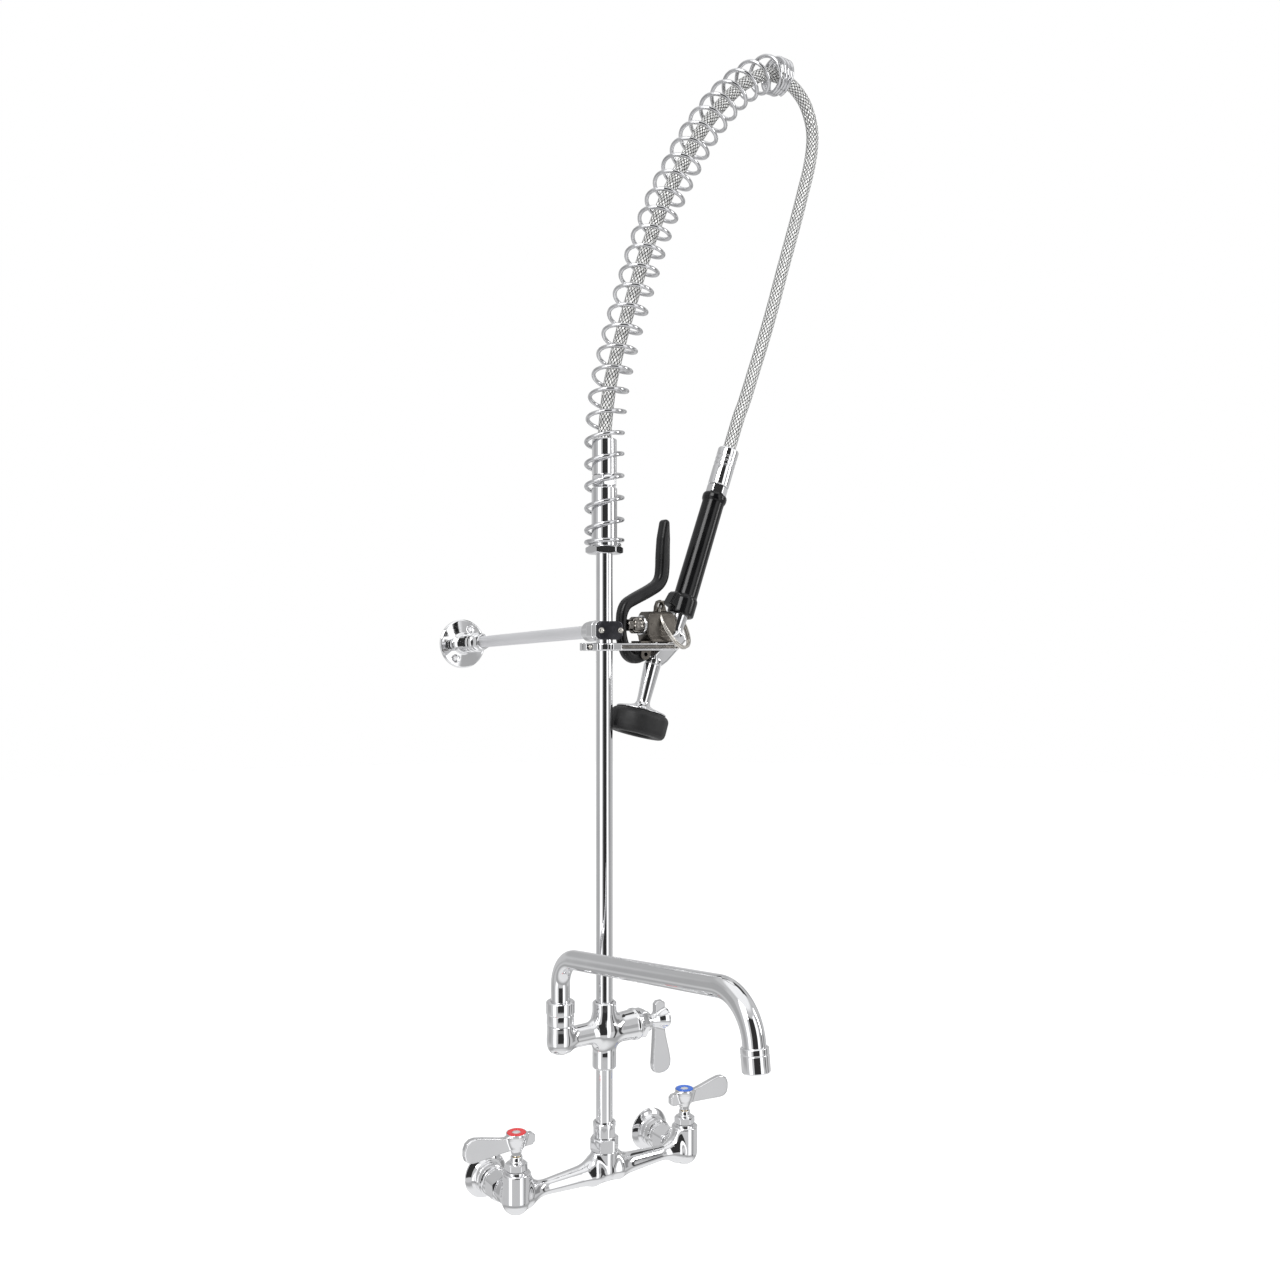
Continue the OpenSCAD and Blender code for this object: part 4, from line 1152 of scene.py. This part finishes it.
# hook fork
hook = {"low": 536, "high": 544, "ring": 12.4, "ear": 26, "fingerIn": 10, "fingerOut": 15,
    "tip": 84, "soft": 1.6,
    "groove": 2.1, "grain": 0.6}


def riserHole(p):
    # clear of the riser pipe all round
    return np.hypot(p[:, 0], p[:, 1]) - 8.62


def makeHook():
    h = hook
    mid, half = (h["low"] + h["high"]) / 2, (h["high"] - h["low"]) / 2 - 0.05

    def field(p):
        flat = np.hypot(p[:, 0], p[:, 1]) - h["ring"]
        y = np.abs(p[:, 1])
        axis = (h["fingerIn"] + h["fingerOut"]) / 2
        wide = (h["fingerOut"] - h["fingerIn"]) / 2
        along = np.clip(p[:, 0], 2, h["tip"] - wide)   # the fingers' round ends
        finger = np.hypot(p[:, 0] - along, y - axis) - wide
        flat = melt(flat, finger, 2.5)
        body = slab(flat, p[:, 2], half, h["soft"])
        ear = softened([np.abs(p[:, 0] + (h["ear"] + 8) / 2) - (h["ear"] - 8) / 2, y - 6,
                np.abs(p[:, 2]) - half],
            0.6)
        body = carve(melt(body, ear, 1.5), riserHole(p))
        slit = np.maximum(np.abs(p[:, 1]) - 0.8, p[:, 0])
        groove = np.hypot(p[:, 2], y - h["fingerOut"] - 0.4) - h["groove"]
        groove = np.maximum(groove, 12 - p[:, 0])
        pocket = np.maximum(np.maximum(np.abs(p[:, 0] + 21) - 3.4, np.abs(p[:, 2]) - 2.7),
            p[:, 1] + 4.6)
        return carve(carve(carve(body, slit), groove, 0.4), pocket)

    fork = cast("hookFork", field, (-28, -17, -5.5), (h["tip"] + 2, 17, 5.5), h["grain"],
        atRiser(z=mid))
    finishPiece(fork, "root", "castChrome", "hook_fork")
    # dark bars along the floor of the two grooves, as painted shade
    floors = [sweep("x", [(riserX + x, riserY + side * (h["fingerOut"] - 1.5), mid)
                for x in (13, 30, 50, h["tip"] - 6)], 1.45, sides=16) for side in (-1, 1)]
    finishPiece(joined("hookGrooveShade", floors), "root", "smokeChromeAndGrooveShade", slot=None)
    # pinch screw: round head towards the front, square nut behind
    place = atRiser(5.5 - h["ear"], mid, (0, -1, 0))
    screw = lathe("x", [(0, 6.9), (1.4, 6.7), (2.1, 6.1), (2.3, 5.2), (1.9, 5), (1.9, -7)], place,
        0.2, sides=40)
    back = hexNut("x", 6.4, -8.4, -6.1, 1.9, place)
    finishPiece(joined("hookScrew", [screw, back]), "root", "plainSteel", "hook_screw", "plain_steel")
    # dark plate at the floor of the pinch pocket, as painted shade
    corners = ((-3.3, -2.6), (3.3, -2.6), (3.3, 2.6), (-3.3, 2.6))
    well = addMesh("hookPocketShade", [(x, y, z) for y in (4.62, 5.0) for x, z in corners],
        [(3, 2, 1, 0), (4, 5, 6, 7)] + skin(2, 4),
        Matrix.Translation((riserX - h["ear"] + 5, riserY, mid)) @ turnedBy(180, "Z"))
    finishPiece(well, "root", "paintedShadeAndReflection", slot=None)
    print("hook fork cast")


makeHook()


# wall bracket
bracket = {"low": 547.3, "high": 566.3, "wide": 15, "corner": 5.2, "deep": 12.5, "darkTo": 7.5,
    "gap": 0.5,
    "hub": 10.5, "hubFrom": 9.5, "hubTo": 30, "rod": 6.85, "rodFrom": 14.2, "rodTo": 330, "end": 336,
    "dip": 2.5, "screwAt": 11.6, "flange": 30.5, "grain": 0.6}


def rodPlace():
    b = bracket
    return Matrix.Translation((riserX, riserY,
            (b["low"] + b["high"]) / 2)) @ turnedBy(-90 - b["dip"], "X")


def makeBracket():
    b = bracket
    mid, half = (b["low"] + b["high"]) / 2, (b["high"] - b["low"]) / 2
    rodTurn = np.array(rodPlace().to_3x3())

    def clampSlab(p, nearY, farY, soft):
        flat = softened([np.abs(p[:, 0]) - b["wide"], np.abs(p[:, 2]) - half], b["corner"])
        return slab(flat, p[:, 1] - (nearY + farY) / 2, (farY - nearY) / 2, soft)

    def backHalf(p):
        w = rodTurn[:, 2]
        hub = post(p, w * (b["hubFrom"] + b["gap"]), w * b["hubTo"], b["hub"], soft=1.0)
        body = carve(melt(clampSlab(p, b["gap"], b["deep"], 1.3), hub, 4), riserHole(p))
        return carve(body, post(p, w * 20, w * 40, b["rod"] + 0.1, soft=0.1))

    place = atRiser(z=mid)
    low, high = (-b["wide"] - 1, -14, -half - 1), (b["wide"] + 1, 1, half + 1)
    # a near-black front plate, a painted dark reflection on the chrome, and a bright one behind it
    for name, nearY, farY, soft, about in (
        ("bracketPlate", -b["deep"], -b["darkTo"], 1.1,
            ("paintedShadeAndReflection", "bracket_plate", "dark_nickel")),
        ("bracketFront", 0.1 - b["darkTo"], -b["gap"], 0.8, ("castChrome",))):
        plate = cast(name, lambda p: carve(clampSlab(p, nearY, farY, soft), riserHole(p)), low, high,
            b["grain"], place)
        finishPiece(plate, "wall_bracket", *about)
    back = cast("bracketHub", backHalf, (-b["wide"] - 1, -0.5, -13), (b["wide"] + 1, 31, half + 3),
        b["grain"], place)
    finishPiece(back, "wall_bracket", "castChrome", "bracket_hub")
    # two dome screws in front and a set screw under the hub
    screws = []
    for side in (-1, 1):
        screws.append(lathe("x", [(0, 15.0), (1.6, 14.75), (2.7, 14.1), (3.2, 13.2), (3.2, 12.4),
                    (2, 12.4), (2, 9)],
                atRiser(side * b["screwAt"], mid, (0, -1, 0)), 0.2, sides=40))
    place = rodPlace() @ turnedBy(200, "Z") @ Matrix.Translation((0, 0, 22)) @ turnedBy(-90, "X")
    screws.append(lathe("x", [(0, 9), (1.0, 9), (1.2, 11.4), (1.8, 11.6), (2, 11.2), (2, 7)], place,
            0.15, sides=32))
    finishPiece(joined("bracketScrews", screws), "wall_bracket", "plainSteel", "bracket_screws",
        "plain_steel")
    place = rodPlace()
    end = b["end"]
    rod = lathe("bracketRod", [(0, b["rodFrom"]), (b["rod"], b["rodFrom"]), (b["rod"], b["rodTo"]),
            (0, b["rodTo"])],
        place, 0.3, sides=64)
    finishPiece(rod, "wall_bracket", "satinPipe", "bracket_rod", "satin_rod")
    hexPart = hexNut("x", 18.6, end - 60, end - 48, 7, place)
    ring = closedLoop("x", [(7, end - 48), (10.8, end - 48), (12, end - 46.8), (12, end - 38),
            (11.6, end - 37.6), (11.6, end - 37), (12, end - 36.6), (12, end - 27),
            (11.4, end - 26.1), (7, end - 26.1)],
        place, 0.4)
    finishPiece(joined("rodCollar", [hexPart, ring]), "wall_bracket", "turnedChrome", "rod_collar")
    print("bracket ready")


makeBracket()


# wall flange with its two countersunk holes
holes = {"circle": 21, "turns": (-60, 120), "mouth": 5.2, "bore": 2.6, "slope": 1.15, "deepest": 3.0}


def makeWallFlange():
    b, h = bracket, holes
    end, r = b["end"], b["flange"]
    line = eased([(7.0, end - 5.9), (7.0, end - 25.9), (10.6, end - 25.9), (11, end - 25.4),
            (11, end - 9.4), (12, end - 8), (12.5, end - 6), (14, end - 4.7), (r - 1.5, end - 3.4),
            (r, end - 2.2), (r, end - 0.4), (r - 0.4, end)], 0.5)
    sides, face = 180, 26
    middles = [(h["circle"] * math.cos(math.radians(a)), h["circle"] * math.sin(math.radians(a)))
        for a in h["turns"]]
    # a fine sheet between the rings lets each hole sink its own round edge
    rings = []
    for a, c in zip(line, line[1:]):
        n = face if a[0] > 13.9 and c[0] > a[0] + 8 else 1
        for k in range(n):
            t = k / n
            rings.append((a[0] + (c[0] - a[0]) * t, a[1] + (c[1] - a[1]) * t))
    rings.append(line[-1])
    points = []
    for radius, z in rings:
        for x, y, _ in circle(radius, sides):
            sink = 0.0
            for hx, hy in middles:
                off = math.hypot(x - hx, y - hy)
                if off < h["bore"]:
                    sink = h["deepest"] + 0.1
                elif off < h["mouth"]:
                    sink = max(sink, min(h["deepest"], (h["mouth"] - off) * h["slope"]))
            points.append((x, y, min(z + sink, end - 0.05) if z < end - 0.1 else z))
    rows = len(rings)
    faces = skin(rows, sides)
    points.append((0, 0, end))
    faces += [((rows - 1) * sides + k, (rows - 1) * sides + (k + 1) % sides,
            len(points) - 1) for k in range(sides)]
    plate = addMesh("wallFlange", points, faces, rodPlace(), 40)
    finishPiece(plate, "wall_bracket", "turnedChrome", "wall_flange")
    # dark depth of each screw hole
    for number, (hx, hy) in enumerate(middles):
        plug = lathe("x", [(0, end - 2.2), (2.55, end - 2.2), (2.55, end - 0.2)],
            rodPlace() @ Matrix.Translation((hx, hy, 0)), 0, sides=32)
        plug.name = "flangeHole" + "AB"[number]
        finishPiece(plug, "wall_bracket", "indexSilver", slot=None)
    print("wall flange ready")


makeWallFlange()


# grip
grip = {"foot": (95.31, 572.76), "lean": 20, "wedgeGrain": 0.7,
    "outline": [(7.4, 0.3), (12.6, 0.3), (14.2, 1.4), (14.5, 3), (14.5, 17.6), (14.1, 19.6), (13.2, 21),
        (12.7, 22.4), (12.5, 60), (12.1, 129), (12.2, 131.6), (13.1, 133.4), (13.5, 135),
        (13.5, 138.4), (12.7, 140.4), (11.4, 141), (7.4, 141)]}


def gripPlace():
    x, z = grip["foot"]
    return Matrix.Translation((riserX + x, riserY, z)) @ turnedBy(grip["lean"], "Y")


def makeGrip():
    sleeve = closedLoop("x", grip["outline"], gripPlace(), 0.8, sides=96)

    def wedgeField(p):
        flat = outline(p[:, [0, 2]], [(77.8, 586.2), (95, 574.4), (103, 591), (88, 599), (85.3, 597.4)])
        body = slab(flat, p[:, 1], 8, 2.4)
        local = p - (grip["foot"][0], 0, grip["foot"][1])
        lean = math.radians(grip["lean"])
        w = np.array([math.sin(lean), 0, math.cos(lean)])
        return carve(body, post(local, -20 * w, 60 * w, 8.1, soft=0.1), 0.4)

    wedge = cast("x", wedgeField, (75, -9.5, 572), (105, 9.5, 601), grip["wedgeGrain"], atRiser())
    finishPiece(joined("grip", [sleeve, wedge], 40), "spray_valve", "gripRubber", "grip", "black_grip")
    nut = hexNut("gripNut", 20.4, 141.1, 150.9, 7, gripPlace())
    finishPiece(nut, "spray_valve", "turnedChrome", "grip_nut")
    low = 151.1
    crimps = [(7.0, low), (10.9, low), (11.6, low + 0.9)]
    for k in range(3):
        z = low + 22 + k * 5.2
        crimps += [(11.6, z), (11.0, z + 0.7), (11.0, z + 1.7), (11.6, z + 2.4)]
    crimps += [(11.6, low + 42.6), (10.9, low + 43.8), (7.0, low + 43.8)]
    ferrule = closedLoop("lowerFerrule", crimps, gripPlace(), 0.3)
    finishPiece(ferrule, "spray_valve", "turnedChrome", "lower_ferrule")
    print("grip moulded")


makeGrip()


# spray valve block, neck and outlet boss
valve = {
    "block": [(51.5, 544.5), (47.1, 553), (47.1, 569.5), (51, 576.8), (77.4, 576.8), (83, 571),
        (82, 558), (77, 544.5)],
    "boss": [(57.5, 524), (57, 531), (78, 551), (90, 557), (97, 553), (99, 546.5), (74, 523.8),
        (66, 519)],
    "half": 12.9, "waist": 10.6, "soft": 1.3, "top": (61.5, 527), "tube": 8.4,
    "lug": (69, 583), "eye": 3.6, "pivot": (45, 532), "nozzleLean": 16.5, "grain": 0.6,
}


def nozzlePlace():
    x, z = valve["top"]
    return Matrix.Translation((riserX + x, riserY, z)) @ turnedBy(180 + valve["nozzleLean"], "Y")


def makeValveBlock():
    v = valve
    top = np.array([v["top"][0], 0, v["top"][1]])
    foot = np.array([grip["foot"][0], 0, grip["foot"][1]])
    lean = math.radians(grip["lean"])
    up = np.array([math.sin(lean), 0, math.cos(lean)])
    tilt = math.radians(180 + v["nozzleLean"])
    down = np.array([math.sin(tilt), 0, math.cos(tilt)])

    def blockField(p):
        y = np.abs(p[:, 1])
        # the lower edge widens to rest on the fork
        wide = np.interp(p[:, 2], [544.5, 547.5, 551], [v["half"], v["half"] - 0.6, v["waist"]])
        body = slab(outline(p[:, [0, 2]], v["block"]), y - wide + v["waist"], v["waist"], v["soft"])
        lug = slab(outline(p[:, [0, 2]], [(62, 574), (62.6, 582.5), (65, 588), (69, 589.6),
                    (73, 588), (75.4, 582.5), (78, 574)]), y, 2.3, 1.0)
        ears = slab(melt(outline(p[:, [0, 2]], [(39.2, 546), (39.5, 532), (50.5, 532), (58, 546)]),
                away(p, *v["pivot"]) - 5.8, 1.0), y - 8.55, 1.15, 0.5)
        body = melt(melt(body, lug, 2.2), ears, 0.8)
        body = carve(body, away(p, *v["lug"]) - v["eye"], 0.8)
        # bevelled upper edges, clear of the hold ring
        crown = (p[:, 2] - 576.8) + (y - v["waist"]) + 2.4
        body = np.maximum(body, np.where(y > 5, crown * 0.7, body))
        for x, z in ((66, 558), (74, 552)):   # small dimples in the side
            dimple = np.stack([p[:, 0] - x, y - v["waist"] - 0.4, p[:, 2] - z], 1)
            body = carve(body, np.linalg.norm(dimple, axis=1) - 1.5)
        stemHole = np.maximum(np.hypot(p[:, 1], p[:, 2] - stemZ) - 6.5, p[:, 0] - 60)
        return carve(body, stemHole)

    block = cast("valveBlock", blockField, (37, -15, 524), (93, 15, 591), v["grain"], atRiser())
    finishPiece(block, "spray_valve", "darkNickel", "valve_body", "dark_nickel")

    def neckField(p):
        neck = post(p, foot - 23 * up, foot + 4 * up, 6.6, 9.2, soft=0.4)
        boss = slab(outline(p[:, [0, 2]], v["boss"]), np.abs(p[:, 1]), 8.3, 2.2)
        collar = post(p, top, top + 5.9 * down, v["tube"], soft=0.3)
        body = melt(melt(neck, boss, 3), collar, 0.8)
        plane = (p - top) @ down - 5.9
        return np.maximum(body, plane)

    neck = cast("outletNeck", neckField, (50, -10, 516), (101, 10, 578), v["grain"], atRiser())
    finishPiece(neck, "spray_valve", "castChrome")
    pin = lathe("leverPin", [(0, -9.7), (2.2, -9.7), (2.5, -9.4), (2.5, 9.4), (2.2, 9.7), (0, 9.7)],
        atRiser(*v["pivot"], (0, 1, 0)), 0.1, sides=32)
    finishPiece(pin, "spray_valve", "plainSteel", "lever_pin", "plain_steel")
    print("valve block cast")


makeValveBlock()


# valve bonnet: a fluted nut and its bright collar
bonnet = {"radius": 8.9, "bore": 6.4, "flutes": 8, "fluteDepth": 1.1,
    # height along the stem and share of the radius; the first ring is the bore
    "rings": [(32.9, 0), (32.9, 0.8), (33.5, 0.9), (34.6, 1), (42.6, 1), (43.4, 0.95), (44, 0.9)]}


def makeValveBonnet():
    b = bonnet
    place = atRiser(z=stemZ, axis=(1, 0, 0))
    sides = 120
    points = []
    for z, share in b["rings"]:
        for k in range(sides):
            a = 2 * math.pi * k / sides
            fluted = b["radius"] - b["fluteDepth"] * max(0, math.cos(b["flutes"] * a)) ** 1.5
            r = fluted * share if share else b["bore"]
            points.append((r * math.cos(a), r * math.sin(a), z))
    stem = lathe("valveStemHead", [(0, 26.3), (5.0, 26.3), (6.1, 27.2), (6.2, 28), (6.2, 37),
            (0, 37)], place, 0.3)
    finishPiece(stem, "plunger", "smokeChromeAndGrooveShade", "valve_stem", "brass")
    nut = addMesh("valveBonnet", points, skin(len(b["rings"]), sides), place, 40)
    finishPiece(nut, "spray_valve", "smokeChromeAndGrooveShade", "valve_bonnet", "dark_nickel")
    collar = closedLoop("bonnetCollar", [(6.6, 44.05), (9.9, 44.05), (10.4, 44.6), (10.4, 46.3),
            (9.9, 46.95), (6.6, 46.95)], place, 0.3)
    finishPiece(collar, "spray_valve", "turnedChrome")


makeValveBonnet()


# squeeze lever
lever = {"line": [(45, 532), (39, 529.2), (33, 529.3), (27.6, 533), (24, 540), (21.1, 549), (20.3, 558),
        (20.6, 567), (22.1, 576), (26.7, 584), (35.5, 589.2), (46, 594.2), (57, 599.6), (66, 605.3),
        (71, 613), (72.6, 624), (73, 638), (73.8, 654), (75.2, 670.5)],
    # half its thickness at each of those points
    "thick": [7.6, 6.6, 6.0, 5.6, 5.3, 5.0, 4.6, 4.6, 5.1, 5.8, 6.2, 6.4, 6.4, 6.6, 6.8, 6.7, 6.5,
        6.1, 4.2],
    "soft": 5.0, "eye": 2.6, "grain": 0.7}


def makeLever():
    l = lever
    known = np.arange(len(l["line"]))
    line = sampled(l["line"], 4)
    thick = np.interp(np.linspace(0, known[-1], len(line)), known, l["thick"])

    def field(p):
        q = p[:, [0, 2]]
        flat = None
        for k in range(len(line) - 1):
            piece = bar(q, line[k], line[k + 1], thick[k], thick[k + 1])
            flat = piece if flat is None else np.minimum(flat, piece)
        # the paddle is a little wider than the shank
        half = np.interp(p[:, 2], [530, 600, 632, 676], [6.8, 6.9, 7.6, 7.2])
        return carve(slab(flat, p[:, 1], half, l["soft"]), away(p, *valve["pivot"]) - l["eye"])

    made = cast("squeezeLever", field, (14, -8.5, 521), (83, 8.5, 679), l["grain"], atRiser())
    finishPiece(made, "lever", "dippedVinyl", "squeeze_lever", "black_vinyl")
    print("lever dipped")


makeLever()


# hold ring: one wire wound twice
ring = {"radius": 27.25, "wire": 1.45, "slope": 46, "spread": 1.3, "roll": 50}


def makeRing():
    x, z = valve["lug"]
    place = (Matrix.Translation((riserX + x, riserY, z)) @ turnedBy(ring["slope"], "Y")
        @ Matrix.Translation((ring["radius"], 0, 0)) @ turnedBy(ring["roll"], "X"))
    count = 240
    path = []
    for k in range(count):
        a = 4 * math.pi * k / count
        local = Vector((ring["radius"] * math.cos(a), ring["radius"] * math.sin(a),
                ring["spread"] * math.cos(a / 2)))
        path.append(tuple(place @ local))
    wire = sweep("holdRing", path, ring["wire"], sides=16, closed=True, up=(0.7, 0, 0.7))
    finishPiece(wire, "ring", "ringNickel", "hold_ring")


makeRing()


# nozzle, bumper and spray face
nozzle = {"long": 57, "tube": 7, "plate": 26.5, "bumper": 31, "thick": 25, "edge": 7,
    "jetCircle": 8.5, "jets": 8}


def makeNozzle():
    n = nozzle
    tube = closedLoop("nozzle", [
            (4.6, 6.1), (8.5, 6.1), (8.9, 6.6), (n["tube"], 44), (7.1, 47.4), (8.4, 50.2),
            (12.5, 52.0), (20, 53.8), (n["plate"] - 0.9, 55.2), (n["plate"], 55.9),
            (n["plate"], 56.6), (n["plate"] - 0.5, 56.95), (6.9, 56.95), (6.9, 60.8),
            (4.6, 60.8)], nozzlePlace(), 0.4, sides=80)
    finishPiece(tube, "spray_valve", "turnedChrome", "nozzle")
    top, low = n["long"] + 0.05, n["long"] + n["thick"]
    outer, e = n["bumper"], n["edge"]
    upper = [(outer - e + e * math.cos(a),
            top + e - e * math.sin(a)) for a in np.linspace(math.pi / 2, 0, 9)]
    lower = [(outer - 0.2, low - 6.5), (outer - 0.9, low - 3.0), (outer - 2.6, low - 0.8),
        (outer - 4.6, low - 0.05)]
    cushion = closedLoop("bumper", [(7.1, top)] + upper + lower + [
            (18.6, low - 0.05), (17.3, low - 1.2), (17.05, low - 4), (17.05, top + 5), (7.1, top + 5)],
        nozzlePlace(), 0.5, sides=96)
    finishPiece(cushion, "spray_valve", "bumperRubber", "bumper", "black_rubber")
    disc = [(0, 62.2), (16.8, 62.2), (16.8, 66), (12, 66.2), (12, 70.2), (11.2, 71), (0, 71)]
    face = lathe("sprayFace", disc, nozzlePlace(), 0.3)
    finishPiece(face, "spray_valve", "turnedChrome", "spray_face")
    # a ring of jets round a middle one
    jets = [lathe("x", [(0, 71.06), (0.95, 71.06), (1.05, 70.9)],
            nozzlePlace() @ Matrix.Translation(spot), 0, sides=16)
        for spot in circle(n["jetCircle"], n["jets"]) + [(0, 0, 0)]]
    finishPiece(joined("sprayJets", jets), "spray_valve", "bumperRubber", slot=None)
    print("nozzle and bumper ready")


makeNozzle()


print("scene complete")
